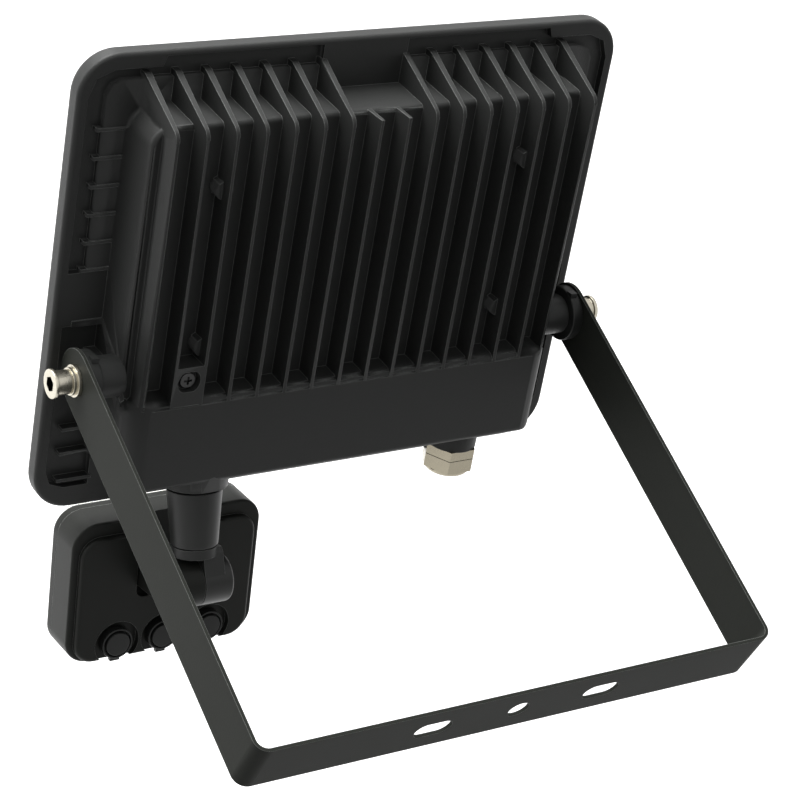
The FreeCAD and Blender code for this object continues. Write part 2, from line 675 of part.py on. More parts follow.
def make_back_screw():
    """The small screw sunk in the round recess between two fins."""
    b = body("back_screw", LAMP)
    x, y = (d.pad_left + d.pad_right) / 2, d.pad_screw_up
    seat = d.box_back - d.pad_recess_deep
    disc(b, "back_head", "XY_Plane", seat, x, y, lift(2.9), lift(1.7))
    soften(b, lift(0.6), lambda e: flat_at(e, "z", (seat + 1.7).value))
    disc(b, "back_stem", "XY_Plane", seat, x, y, lift(1.28), lift(4.4), back=True)
    cross = sketch(b, "back_drive", "XY_Plane", seat + 1.7)
    polygon(cross, [(x - 0.4, y - 1.4), (x + 0.4, y - 1.4), (x + 0.4, y - 0.4), (x + 1.4, y - 0.4),
                    (x + 1.4, y + 0.4), (x + 0.4, y + 0.4), (x + 0.4, y + 1.4), (x - 0.4, y + 1.4),
                    (x - 0.4, y + 0.4), (x - 1.4, y + 0.4), (x - 1.4, y - 0.4), (x - 0.4, y - 0.4)])
    cut(b, cross, lift(0.9))
    return b


def make_driver():
    """The driver: its board on four posts, a transformer, a capacitor and the terminal block."""
    level = d.driver_floor - d.driver_post_tall
    board = body("driver_board", LAMP)
    plate = sketch(board, "driver_plate", "XY_Plane", level)
    rounded_box(plate, -d.driver_half, d.driver_half, d.driver_bottom + 1, d.driver_top - 1, 1.5)
    pad(board, plate, d.board_thick, back=True)
    top = level - d.board_thick
    core = body("driver_transformer", LAMP)
    block = sketch(core, "core_block", "XY_Plane", top)
    rounded_box(block, -12.0, 8.0, -31.0, -14.0, 1.2)
    pad(core, block, lift(12.5), back=True)
    coil = sketch(core, "core_window", "XY_Plane", top - 3.0)
    rounded_box(coil, -14.0, 10.0, -28.0, -17.0, 2.0)
    pad(core, coil, lift(6.5), back=True)
    can = body("driver_capacitor", LAMP)
    disc(can, "capacitor_can", "XY_Plane", top, lift(22.0), lift(-22.5), lift(6.0), lift(13.5), back=True)
    soften(can, lift(0.7), lambda e: flat_at(e, "z", (top - 13.5).value))
    terminal = body("terminal_block", LAMP)
    shell = sketch(terminal, "terminal_shell", "XY_Plane", top)
    polygon(shell, [(-36.0, -33.0), (-24.0, -33.0), (-24.0, -13.0), (-36.0, -13.0)])
    pad(terminal, shell, lift(9.0), back=True)
    wells = sketch(terminal, "terminal_wells", "XY_Plane", top - 9.0)
    for k in range(3):
        circle(wells, -30.0, -29.3 + 6.3 * k, lift(2.1))
    cut(terminal, wells, lift(4.0), back=True)


# Pivot hardware, one of each per side

def both_sides(b, feature):
    mirror(b, [feature])
    return b


def ring(name, inner, outer, start, length):
    """A flat ring round the pivot axis, repeated on the far side."""
    b = body(name, LAMP)
    profile = sketch(b, name + "_ring", "YZ_Plane", start)
    circle(profile, 0, d.pivot_back, outer)
    circle(profile, 0, d.pivot_back, inner)
    return both_sides(b, pad(b, profile, length))


def make_pivot_hardware():
    inside = d.bracket_half - d.strip_thick
    discs = body("pivot_discs", LAMP)
    plate = sketch(discs, "disc_plate", "YZ_Plane", d.boss_end)
    circle(plate, 0, d.pivot_back, d.disc_radius)
    circle(plate, 0, d.pivot_back, d.bolt_radius + 0.3)
    one = pad(discs, plate, inside - d.boss_end - d.disc_gap)
    tab = sketch(discs, "disc_tab", "YZ_Plane", d.boss_end)
    polygon(tab, [(d.disc_radius - 1.2, d.pivot_back - 1.8), (d.disc_radius + 2.4, d.pivot_back - 1.8),
                  (d.disc_radius + 2.4, d.pivot_back + 1.8), (d.disc_radius - 1.2, d.pivot_back + 1.8)])
    two = pad(discs, tab, lift(2.6))
    mirror(discs, [one, two])
    first = d.bracket_half + d.disc_gap
    ring("flat_washers", d.bolt_radius + 0.2, d.washer_radius, first, d.washer_thick)
    split = body("spring_washers", LAMP)
    coil = sketch(split, "spring_ring", "YZ_Plane", first + d.washer_thick)
    circle(coil, 0, d.pivot_back, d.spring_radius)
    circle(coil, 0, d.pivot_back, d.bolt_radius + 0.15)
    whole = pad(split, coil, d.spring_thick)
    gap = sketch(split, "spring_gap", "YZ_Plane", first + d.washer_thick)
    polygon(gap, [(d.bolt_radius, d.pivot_back - 0.5), (d.spring_radius + 1, d.pivot_back - 0.1),
                  (d.spring_radius + 1, d.pivot_back + 0.9), (d.bolt_radius, d.pivot_back + 0.5)])
    opened = cut(split, gap, d.spring_thick, back=True)
    mirror(split, [whole, opened])
    bolts = body("pivot_bolts", LAMP)
    tip = d.boss_end - d.bolt_depth
    under = first + d.washer_thick + d.spring_thick + d.bolt_standoff - 1.5
    stem = sketch(bolts, "bolt_stem", "YZ_Plane", tip)
    circle(stem, 0, d.pivot_back, d.bolt_radius)
    a = pad(bolts, stem, under - tip)
    head = sketch(bolts, "bolt_head", "YZ_Plane", under)
    circle(head, 0, d.pivot_back, d.bolt_head)
    c = pad(bolts, head, d.bolt_head_long)
    face = (under + d.bolt_head_long).value
    low = under.value
    e = soften(bolts, lift(0.7), lambda s: flat_at(s, "x", face) or (
        flat_at(s, "x", low) and s.BoundBox.DiagonalLength > 8))
    key = sketch(bolts, "bolt_key", "YZ_Plane", under + d.bolt_head_long)
    hexagon(key, lift(0), d.pivot_back, d.hex_key)
    g = cut(bolts, key, d.hex_deep)
    mirror(bolts, [a, c, e, g])


# Cable gland

def gland_ring(name, at, outline, inner, length):
    """A piece of the gland between two levels of its axis, growing downwards."""
    b = body(name, LAMP)
    profile = sketch(b, name + "_face", "XZ_Plane", -at)
    outline(profile)
    circle(profile, d.gland_x, d.gland_z, inner)
    pad(b, profile, length)
    return b


def make_gland():
    def hex_line(sk):
        hexagon(sk, d.gland_x, d.gland_z, d.gland_across)

    face = d.gland_face
    base = gland_ring("gland_body", face, hex_line, d.gland_cable + 1.8, d.gland_hex_long)
    stem = sketch(base, "gland_stem", "XZ_Plane", -face)
    circle(stem, d.gland_x, d.gland_z, d.gland_thread)
    circle(stem, d.gland_x, d.gland_z, d.gland_cable + 1.8)
    pad(base, stem, d.driver_bottom - face + 5.5, back=True)
    neck = sketch(base, "gland_neck", "XZ_Plane", -(face - d.gland_hex_long))
    circle(neck, d.gland_x, d.gland_z, d.gland_thread - 0.9)
    circle(neck, d.gland_x, d.gland_z, d.gland_cable + 1.8)
    pad(base, neck, lift(4.4))
    nut = body("gland_nut", LAMP)
    at = face - d.gland_hex_long - 0.25
    low = at - d.gland_nut_long
    shell = sketch(nut, "gland_cap", "XZ_Plane", -at)
    hexagon(shell, d.gland_x, d.gland_z, d.gland_across)
    pad(nut, shell, d.gland_nut_long - 2.2)
    dome = sketch(nut, "gland_dome", "XZ_Plane", -at)
    circle(dome, d.gland_x, d.gland_z, d.gland_across / 2)
    pad(nut, dome, d.gland_nut_long)
    soften(nut, lift(2.0), lambda e: flat_at(e, "y", low.value))
    hollow = sketch(nut, "gland_hollow", "XZ_Plane", -at)
    circle(hollow, d.gland_x, d.gland_z, d.gland_thread - 0.85)
    cut(nut, hollow, d.gland_nut_long - 1.6, back=True)
    mouth = sketch(nut, "gland_mouth", "XZ_Plane", -at)
    circle(mouth, d.gland_x, d.gland_z, d.gland_cable + 1.0)
    cut(nut, mouth, d.gland_nut_long + 1, back=True)
    seal = body("gland_seal", LAMP)
    rubber = sketch(seal, "gland_rubber", "XZ_Plane", -(face + 2))
    circle(rubber, d.gland_x, d.gland_z, d.gland_cable + 1.75)
    circle(rubber, d.gland_x, d.gland_z, d.gland_cable)
    pad(seal, rubber, d.gland_hex_long + 2 + 5.4)
    lock = body("gland_locknut", LAMP)
    ring_face = sketch(lock, "gland_lock", "XZ_Plane", -(d.driver_bottom + 0.05))
    hexagon(ring_face, d.gland_x, d.gland_z, d.gland_across)
    circle(ring_face, d.gland_x, d.gland_z, d.gland_thread + 0.02)
    pad(lock, ring_face, lift(3.0), back=True)


# Sensor neck: fixed collar, seal, nut and the turning swivel

def make_neck():
    collar = body("neck_collar", NECK)
    outline = sketch(collar, "collar_outline", "XY_Plane")
    polygon(outline, [(0, d.collar_low), (d.collar_low_radius - 0.3, d.collar_low),
                      (d.collar_low_radius, d.collar_low + 0.3),
                      (d.collar_top_radius, d.collar_top - 0.4), (d.collar_top_radius - 0.4, d.collar_top),
                      (d.spigot_radius, d.collar_top), (d.spigot_radius, d.spigot_up), (0, d.spigot_up)])
    turn(collar, outline, "V_Axis")
    socket = sketch(collar, "collar_socket", "XZ_Plane", -d.collar_low)
    circle(socket, 0, 0, d.pan_radius + d.bore_slack)
    cut(collar, socket, d.pan_deep + 0.4)
    duct = sketch(collar, "collar_duct", "XZ_Plane", -d.collar_low)
    circle(duct, 0, 0, lift(2.2))
    cut(collar, duct, d.spigot_up - d.collar_low + 1)
    seal = body("neck_seal", NECK)
    rubber = sketch(seal, "neck_rubber", "XZ_Plane", -d.collar_top)
    circle(rubber, 0, 0, d.collar_top_radius - 0.5)
    circle(rubber, 0, 0, d.spigot_radius + 0.1)
    pad(seal, rubber, lift(2.2), back=True)
    nut = body("neck_nut", NECK)
    lock = sketch(nut, "neck_lock", "XZ_Plane", -(d.spigot_up - 3.4))
    hexagon(lock, lift(0), lift(0), lift(15.0))
    circle(lock, 0, 0, d.spigot_radius + 0.02)
    pad(nut, lock, lift(3.0), back=True)
    swivel = body("swivel", NECK)
    top = d.collar_low - 0.2
    plate = sketch(swivel, "swivel_plate", "XZ_Plane", -top)
    circle(plate, 0, 0, d.collar_low_radius)
    pad(swivel, plate, d.swivel_disc)
    stub = sketch(swivel, "swivel_stub", "XZ_Plane", -top)
    circle(stub, 0, 0, d.pan_radius)
    pad(swivel, stub, d.pan_deep, back=True)
    ear = sketch(swivel, "swivel_ear", "YZ_Plane", d.ear_gap)
    circle(ear, d.knuckle_drop, 0, d.ear_radius)
    pad(swivel, ear, d.ear_width)
    root = sketch(swivel, "swivel_root", "YZ_Plane", d.ear_gap)
    polygon(root, [(d.knuckle_drop, -d.ear_radius), (d.knuckle_drop, d.ear_radius),
                   (top - 2.2, d.ear_radius - 2.4), (top - 0.6, 5.0), (top - 0.6, -5.0),
                   (top - 2.2, 2.4 - d.ear_radius)])
    pad(swivel, root, d.ear_width - 3.4)
    pin = sketch(swivel, "swivel_pin_hole", "YZ_Plane", d.ear_gap + d.ear_width)
    circle(pin, d.knuckle_drop, 0, d.knuckle_shank + d.bore_slack)
    cut(swivel, pin, d.ear_width + 1)
    sink = sketch(swivel, "swivel_sink", "YZ_Plane", d.ear_gap + d.ear_width)
    circle(sink, d.knuckle_drop, 0, d.knuckle_head + 0.2)
    cut(swivel, sink, lift(3.2))
    wire = sketch(swivel, "swivel_duct", "XZ_Plane", -(top + d.pan_deep))
    circle(wire, 0, 0, lift(2.0))
    cut(swivel, wire, d.pan_deep + 2.4, back=False)
    soften(swivel, lift(1.2), lambda e: flat_at(e, "x", (d.ear_gap + d.ear_width).value)
           and e.BoundBox.DiagonalLength > 12)
    screw = body("knuckle_screw", NECK)
    head_at = d.ear_gap + d.ear_width - 3.2
    shank = sketch(screw, "knuckle_shank", "YZ_Plane", head_at)
    circle(shank, d.knuckle_drop, 0, d.knuckle_shank)
    pad(screw, shank, head_at + d.ear_width + d.ear_gap - 0.6, back=True)
    cap = sketch(screw, "knuckle_cap", "YZ_Plane", head_at)
    circle(cap, d.knuckle_drop, 0, d.knuckle_head)
    pad(screw, cap, lift(2.6))
    cross = sketch(screw, "knuckle_cross", "YZ_Plane", head_at + 2.6)
    hexagon(cross, d.knuckle_drop, lift(0), lift(3.0))
    cut(screw, cross, lift(1.6))
    hex_nut = body("knuckle_nut", HEAD)
    flat = sketch(hex_nut, "knuckle_hex", "YZ_Plane", -d.ear_gap - d.ear_width + 0.4)
    hexagon(flat, lift(0), lift(0), lift(6.8))
    circle(flat, 0, 0, d.knuckle_shank + d.bore_slack)
    pad(hex_nut, flat, lift(3.0))


# Sensor head

KNOBS = (("knob_lux", -1), ("knob_time", 0), ("knob_range", 1))


def make_sensor():
    back = body("sensor_back", HEAD)
    shell = sketch(back, "shell", "XY_Plane", d.head_parting)
    rounded_box(shell, -d.head_half, d.head_half, d.head_bottom, d.head_top, d.head_corner)
    pad(back, shell, d.head_shoulder - d.head_parting)
    soften(back, lift(1.0), lambda e: flat_at(e, "z", d.head_shoulder.value))
    plate = sketch(back, "back_plate", "XY_Plane", d.head_shoulder - 1)
    rounded_box(plate, -d.head_half + d.plate_inset, d.head_half - d.plate_inset, d.head_bottom + 0.6,
                d.head_top - d.plate_top_inset, d.head_corner - 1.5)
    pad(back, plate, d.head_plate - d.head_shoulder + 1)
    soften(back, lift(1.4), lambda e: flat_at(e, "z", d.head_plate.value))
    room = sketch(back, "shell_room", "XY_Plane", d.head_parting)
    wall = d.head_wall
    rounded_box(room, wall - d.head_half, d.head_half - wall, d.head_bottom + wall, d.head_top - wall,
                d.head_corner - wall)
    cut(back, room, d.room_deep, back=True)
    recess = sketch(back, "knuckle_recess", "XY_Plane", d.head_plate)
    rounded_box(recess, -20.5, 17.5, -14.0, d.head_top + 6, 3.0)
    cut(back, recess, d.recess_deep)
    tongue = sketch(back, "tongue", "YZ_Plane", -d.ear_gap)
    circle(tongue, 0, 0, d.ear_radius)
    pad(back, tongue, d.ear_width, back=True)
    root = sketch(back, "tongue_root", "YZ_Plane", -d.ear_gap)
    sunk = d.head_plate - d.recess_deep - 0.6
    polygon(root, [(0.6 - d.ear_radius, 0), (d.ear_radius - 0.6, 0), (d.ear_radius - 4, sunk),
                   (-d.ear_radius - 1.5, sunk)])
    pad(back, root, d.ear_width, back=True)
    hole = sketch(back, "tongue_hole", "YZ_Plane", 0)
    circle(hole, 0, 0, d.knuckle_shank + d.bore_slack)
    cut(back, hole, d.ear_width + 4, back=False)
    nut_seat = sketch(back, "tongue_nut_seat", "YZ_Plane", -d.ear_gap - d.ear_width)
    hexagon(nut_seat, lift(0), lift(0), lift(7.0))
    cut(back, nut_seat, lift(3.6), back=True)
    posts = sketch(back, "sensor_posts", "XY_Plane", d.head_parting + d.room_deep)
    for x, y in ((-27.0, -21.0), (27.0, -21.0), (-27.0, 7.0), (27.0, 7.0)):
        circle(posts, x, y, 2.2)
    pad(back, posts, d.board_post, back=True)
    wells = sketch(back, "knob_wells", "XY_Plane", d.head_plate)
    holes = sketch(back, "knob_holes", "XY_Plane", d.head_plate)
    for _, place in KNOBS:
        circle(wells, place * d.knob_pitch, d.knob_up, d.knob_well)
        circle(holes, place * d.knob_pitch, d.knob_up, d.knob_shaft + d.bore_slack)
    cut(back, wells, d.knob_well_deep)
    cut(back, holes, lift(9))
    for name, place in KNOBS:
        make_knob(name, place)
    make_sensor_front()


def make_knob(name, place):
    """A round knob with a pointer ridge and a finger tab that reaches past the edge."""
    b = body(name, HEAD.multiply(Placement(
        Vector(place * d.knob_pitch.value, d.knob_up.value, d.head_plate.value), Rotation())))
    floor = -d.knob_well_deep + 0.2
    dial = sketch(b, name + "_dial", "XY_Plane", floor)
    circle(dial, 0, 0, d.knob_radius)
    pad(b, dial, d.knob_long)
    soften(b, lift(0.6), lambda e: flat_at(e, "z", (floor + d.knob_long).value))
    tab = sketch(b, name + "_tab", "XY_Plane", floor)
    polygon(tab, [(-1.7, -7.4), (1.7, -7.4), (2.2, -2.0), (-2.2, -2.0)])
    pad(b, tab, d.knob_long - 1.0)
    ridge = sketch(b, name + "_ridge", "XY_Plane", floor + d.knob_long - 0.6)
    polygon(ridge, [(-0.7, -3.8), (0.7, -3.8), (0.7, 3.8), (-0.7, 3.8)])
    pad(b, ridge, lift(1.4))
    stem = sketch(b, name + "_stem", "XY_Plane", floor)
    circle(stem, 0, 0, d.knob_shaft)
    pad(b, stem, lift(6.0), back=True)


def make_sensor_front():
    wall = d.head_wall
    front = body("sensor_front", HEAD)
    frame = sketch(front, "front_frame", "XY_Plane", d.head_parting - 0.15)
    rounded_box(frame, -d.head_half, d.head_half, d.head_bottom, d.head_top, d.head_corner)
    pad(front, frame, d.head_parting - 0.15 - d.head_front, back=True)
    soften(front, lift(2.0), lambda e: flat_at(e, "z", d.head_front.value))
    window = sketch(front, "front_window", "XY_Plane", d.head_front)
    rounded_box(window, -d.lens_half, d.lens_half, d.lens_bottom - 0.3, d.lens_top + 0.3, 0.2)
    cut(front, window, back=True)
    lens = body("sensor_lens", HEAD)
    centre = d.head_parting - 0.6
    bow = sketch(lens, "lens_bow", "XZ_Plane", -d.lens_bottom)
    circle(bow, 0, centre + 9.0, d.lens_radius)
    circle(bow, 0, centre + 9.0, d.lens_radius - d.lens_wall)
    pad(lens, bow, d.lens_top - d.lens_bottom, back=True)
    rear = sketch(lens, "lens_trim", "XY_Plane", centre)
    rounded_box(rear, -60.0, 60.0, -60.0, 60.0, 3.0)
    cut(lens, rear, lift(60), back=True)
    for name, y, back in (("lens_cap_low", d.lens_bottom, True), ("lens_cap_high", d.lens_top, False)):
        cap = sketch(lens, name, "XZ_Plane", -y)
        circle(cap, 0, centre + 9.0, d.lens_radius - d.lens_wall / 2)
        pad(lens, cap, d.lens_wall, back=back)
    trim = sketch(lens, "lens_trim_caps", "XY_Plane", centre)
    rounded_box(trim, -60.0, 60.0, -60.0, 60.0, 3.0)
    cut(lens, trim, lift(60), back=True)
    return wall


def make_sensor_inside():
    board = body("sensor_board", HEAD)
    face = d.head_parting + d.room_deep - d.board_post - 1.6
    plate = sketch(board, "sensor_plate", "XY_Plane", face)
    rounded_box(plate, -30.0, 30.0, -24.0, 10.0, 1.5)
    pad(board, plate, lift(1.6))
    can = body("pyro_sensor", HEAD)
    disc(can, "pyro_can", "XY_Plane", face, 0, -8.0, 4.6, lift(4.0), back=True)
    flange = sketch(can, "pyro_flange", "XY_Plane", face)
    circle(flange, 0, -8.0, 5.0)
    pad(can, flange, lift(0.6), back=True)


# Building and writing

make_bracket()
make_housing()
make_glass()
make_gasket()
make_reflector()
make_led_board()
make_led_chips()
screw_group("board_screws", LAMP, BOARD_SCREWS, d.led_floor - d.board_thick, 2.6, 1.6,
            d.screw_shank, 3.4, 2.6)
make_back_screw()
make_driver()
make_pivot_hardware()
make_gland()
make_neck()
make_sensor()
make_sensor_inside()
doc.recompute()


def check(item):
    bad = [flag for flag in item.State if flag in ("Invalid", "Error")]
    if bad:
        raise RuntimeError(f"{item.Name} is {bad}")


for item in doc.Objects:
    check(item)

os.makedirs("parts", exist_ok=True)
for node in nodes:
    shape = node.Shape
    if shape.isNull() or not shape.isValid() or not shape.Solids:
        raise RuntimeError(f"{node.Label} has no sound shape")
    shape.exportStep(f"parts/{node.Label}.step")
    print(f"{node.Label}: {len(shape.Solids)} solids, {shape.Volume / 1000:.2f} cm3")
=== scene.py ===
import bpy
import bmesh
import json
import math
from bpy.props import FloatProperty, FloatVectorProperty, IntProperty, PointerProperty
from mathutils import Matrix, Vector


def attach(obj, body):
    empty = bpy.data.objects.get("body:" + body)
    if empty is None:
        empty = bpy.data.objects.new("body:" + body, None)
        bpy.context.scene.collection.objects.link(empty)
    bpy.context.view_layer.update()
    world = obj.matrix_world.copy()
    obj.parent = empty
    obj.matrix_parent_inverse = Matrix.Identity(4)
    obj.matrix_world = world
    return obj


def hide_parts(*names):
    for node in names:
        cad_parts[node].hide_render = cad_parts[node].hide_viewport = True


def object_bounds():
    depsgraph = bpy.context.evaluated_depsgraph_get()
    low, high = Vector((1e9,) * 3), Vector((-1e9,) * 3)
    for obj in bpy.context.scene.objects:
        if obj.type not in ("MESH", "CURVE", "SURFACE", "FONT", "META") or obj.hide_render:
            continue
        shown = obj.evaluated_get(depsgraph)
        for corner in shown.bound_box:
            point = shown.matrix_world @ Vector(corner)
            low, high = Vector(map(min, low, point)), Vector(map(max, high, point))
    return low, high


bl_info = {
    "name": "Motion Sensor Floodlight Finishes",
    "version": (1, 0, 0),
    "blender": (4, 5, 0),
    "location": "View3D > Sidebar > Floodlight",
    "description": "Forms, finishes and studio for a floodlight on a U bracket",
    "category": "Object",
}

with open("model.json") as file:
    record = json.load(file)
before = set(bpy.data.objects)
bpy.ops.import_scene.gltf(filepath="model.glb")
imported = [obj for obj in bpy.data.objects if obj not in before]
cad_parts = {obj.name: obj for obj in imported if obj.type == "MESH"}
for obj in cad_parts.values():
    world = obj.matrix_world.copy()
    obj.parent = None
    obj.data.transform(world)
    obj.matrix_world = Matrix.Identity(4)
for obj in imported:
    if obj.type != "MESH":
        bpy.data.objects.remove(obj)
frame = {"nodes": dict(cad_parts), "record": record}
CAD_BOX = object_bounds()


# Settings

def colour_property(name, description, default):
    return FloatVectorProperty(name=name, description=description, default=default, size=3, min=0.0,
                               max=1.0, subtype="COLOR")


class FloodlightFinishes(bpy.types.PropertyGroup):
    """Colours and textures of the coats, metals and plastics, and the colour of the painted edge highlight.
    """

    cast_colour: colour_property("Casting coat", "Powder coat on the die casting", (0.034, 0.035, 0.034))
    bracket_colour: colour_property("Bracket coat", "Powder coat on the bent strip", (0.031, 0.033, 0.029))
    plastic_colour: colour_property("Black plastic", "Neck, swivel and pivot discs", (0.022, 0.023, 0.022))
    shell_colour: colour_property("Sensor shell", "Moulded shell of the sensor", (0.019, 0.020, 0.018))
    steel_colour: colour_property("Bright steel", "Stainless pivot hardware", (0.52, 0.49, 0.41))
    nickel_colour: colour_property("Gland nickel", "Plated brass of the cable gland", (0.33, 0.30, 0.23))
    lens_colour: colour_property("Sensor lens", "Milky lens in front of the detector", (0.74, 0.74, 0.71))
    # The edge highlight colour is painted light: it lightens the coats along their sharp edges to stand in
    # for light catching them.
    edge_highlight_colour: colour_property("Edge highlight colour", "Painted highlight along the coat's edges", (0.26, 0.27, 0.26))
    grain_depth: FloatProperty(name="Coat grain depth", description="Height of the powder coat's grain",
                               default=0.00006, min=0.0, unit="LENGTH")
    grain_pitch: FloatProperty(name="Coat grain pitch", description="Distance between grains of the coat",
                               default=0.0009, min=0.0001, unit="LENGTH")


class FloodlightForms(bpy.types.PropertyGroup):
    """Sizes of the rounded casting, the turned hardware and the knobs."""

    shoulder: FloatProperty(name="Box shoulder", description="Radius along the deep box's two long edges",
                            default=0.010, min=0.001, unit="LENGTH")
    box_end: FloatProperty(name="Box end", description="Place of the deep box's lower face", default=-0.040,
                           unit="LENGTH")
    pocket_floor: FloatProperty(name="Pocket floor", description="Level of the pockets in the flange",
                                default=-0.0026, unit="LENGTH")
    fin_tip: FloatProperty(name="Fin tip", description="Share of its width that a fin's tip keeps",
                           default=0.75, min=0.3, max=1.0)
    boss_radius: FloatProperty(name="Pivot boss radius", description="Radius of the cast boss at each pivot",
                               default=0.007, min=0.001, unit="LENGTH")
    boss_end: FloatProperty(name="Pivot boss end", description="Where the cast boss meets the pivot disc",
                            default=0.092, unit="LENGTH")
    disc_radius: FloatProperty(name="Pivot disc radius", description="Radius of the plastic pivot disc",
                               default=0.0098, min=0.001, unit="LENGTH")
    bolt_head: FloatProperty(name="Bolt head radius", description="Radius of the pivot bolt's head",
                             default=0.0049, min=0.001, unit="LENGTH")
    bolt_end: FloatProperty(name="Bolt end", description="Where the pivot bolt's head ends",
                            default=0.10635, unit="LENGTH")
    key_across: FloatProperty(name="Key size", description="Width of the bolt's hexagon socket",
                              default=0.0046, min=0.001, unit="LENGTH")
    knob_cap: FloatProperty(name="Knob cap radius", description="Radius of a knob's raised cap",
                            default=0.0044, min=0.001, unit="LENGTH")
    knob_ring: FloatProperty(name="Knob ring radius", description="Outer radius of the ring round the cap",
                             default=0.0058, min=0.001, unit="LENGTH")


class FloodlightLens(bpy.types.PropertyGroup):
    """Sizes of the sensor's moulded lens."""

    columns: IntProperty(name="Facet columns", description="Lens facets across the bow", default=9, min=3,
                         max=15)
    rows: IntProperty(name="Facet rows", description="Lens facets up the bow", default=3, min=1, max=6)
    facet_bulge: FloatProperty(name="Facet bulge", description="How far each facet stands out of its frame",
                               default=0.0006, min=0.0, unit="LENGTH")


class FloodlightStudio(bpy.types.PropertyGroup):
    """Camera, lamps and floor of the studio."""

    floor_drop: FloatProperty(name="Floor distance", description="How far the floor lies under the object",
                              default=0.3, min=0.0, unit="LENGTH")
    key_power: FloatProperty(name="Top light", description="Power of the soft light over the picture's top",
                             default=25.0, min=0.0, unit="POWER")
    side_power: FloatProperty(name="Left light", description="Power of the soft light at the left",
                              default=5.5, min=0.0, unit="POWER")
    fill_power: FloatProperty(name="Front fill", description="Power of the soft light at the camera",
                              default=3.0, min=0.0, unit="POWER")
    lens_mm: FloatProperty(name="Focal length", description="Camera lens on a 36 mm wide sensor",
                           default=121.5, min=10.0)


# Shader helpers

def add_node(tree, kind, place, **values):
    node = tree.nodes.new(kind)
    node.location = place
    for key, value in values.items():
        if hasattr(node, key):
            setattr(node, key, value)
        else:
            node.inputs[key.replace("_", " ")].default_value = value
    return node


def wire(tree, source, target):
    tree.links.new(source, target)


def group_tree(name, inputs, outputs):
    """An empty shader group with named float or colour sockets."""
    tree = bpy.data.node_groups.new(name, "ShaderNodeTree")
    kinds = {"colour": "NodeSocketColor", "value": "NodeSocketFloat"}
    for label, kind, default in inputs:
        socket = tree.interface.new_socket(name=label, in_out="INPUT", socket_type=kinds[kind])
        socket.default_value = default
    for label, kind in outputs:
        tree.interface.new_socket(name=label, in_out="OUTPUT", socket_type=kinds[kind])
    return (tree, add_node(tree, "NodeGroupInput", (-900, 0)), add_node(tree, "NodeGroupOutput", (700, 0)))


def surface_grain_group():
    """Fine grain for a height, with slow drifts of colour and gloss."""
    tree, start, end = group_tree(
        "Surface grain",
        (("Colour", "colour", (0.05, 0.05, 0.05, 1)), ("Grains per metre", "value", 1100.0),
         ("Colour drift", "value", 0.15), ("Roughness", "value", 0.45), ("Gloss drift", "value", 0.08)),
        (("Colour", "colour"), ("Roughness", "value"), ("Height", "value")))
    place = add_node(tree, "ShaderNodeTexCoord", (-900, -300))
    fine = add_node(tree, "ShaderNodeTexNoise", (-600, -200), Detail=3.0, Roughness=0.6)
    slow = add_node(tree, "ShaderNodeTexNoise", (-600, -500), Scale=23.0, Detail=4.0, Roughness=0.55)
    wire(tree, place.outputs["Object"], fine.inputs["Vector"])
    wire(tree, place.outputs["Object"], slow.inputs["Vector"])
    wire(tree, start.outputs["Grains per metre"], fine.inputs["Scale"])
    both = add_node(tree, "ShaderNodeMath", (-350, -350), operation="MULTIPLY_ADD")
    wire(tree, fine.outputs["Fac"], both.inputs[0])
    both.inputs[1].default_value = 0.5
    wire(tree, slow.outputs["Fac"], both.inputs[2])
    centred = add_node(tree, "ShaderNodeMath", (-150, -350), operation="SUBTRACT")
    wire(tree, both.outputs[0], centred.inputs[0])
    centred.inputs[1].default_value = 0.75
    shade = add_node(tree, "ShaderNodeMath", (50, -200), operation="MULTIPLY_ADD")
    wire(tree, centred.outputs[0], shade.inputs[0])
    wire(tree, start.outputs["Colour drift"], shade.inputs[1])
    shade.inputs[2].default_value = 1.0
    tint = add_node(tree, "ShaderNodeVectorMath", (250, 0), operation="SCALE")
    wire(tree, start.outputs["Colour"], tint.inputs[0])
    wire(tree, shade.outputs[0], tint.inputs["Scale"])
    gloss = add_node(tree, "ShaderNodeMath", (50, -450), operation="MULTIPLY_ADD")
    wire(tree, centred.outputs[0], gloss.inputs[0])
    wire(tree, start.outputs["Gloss drift"], gloss.inputs[1])
    wire(tree, start.outputs["Roughness"], gloss.inputs[2])
    wire(tree, tint.outputs[0], end.inputs["Colour"])
    wire(tree, gloss.outputs[0], end.inputs["Roughness"])
    wire(tree, fine.outputs["Fac"], end.inputs["Height"])
    return tree


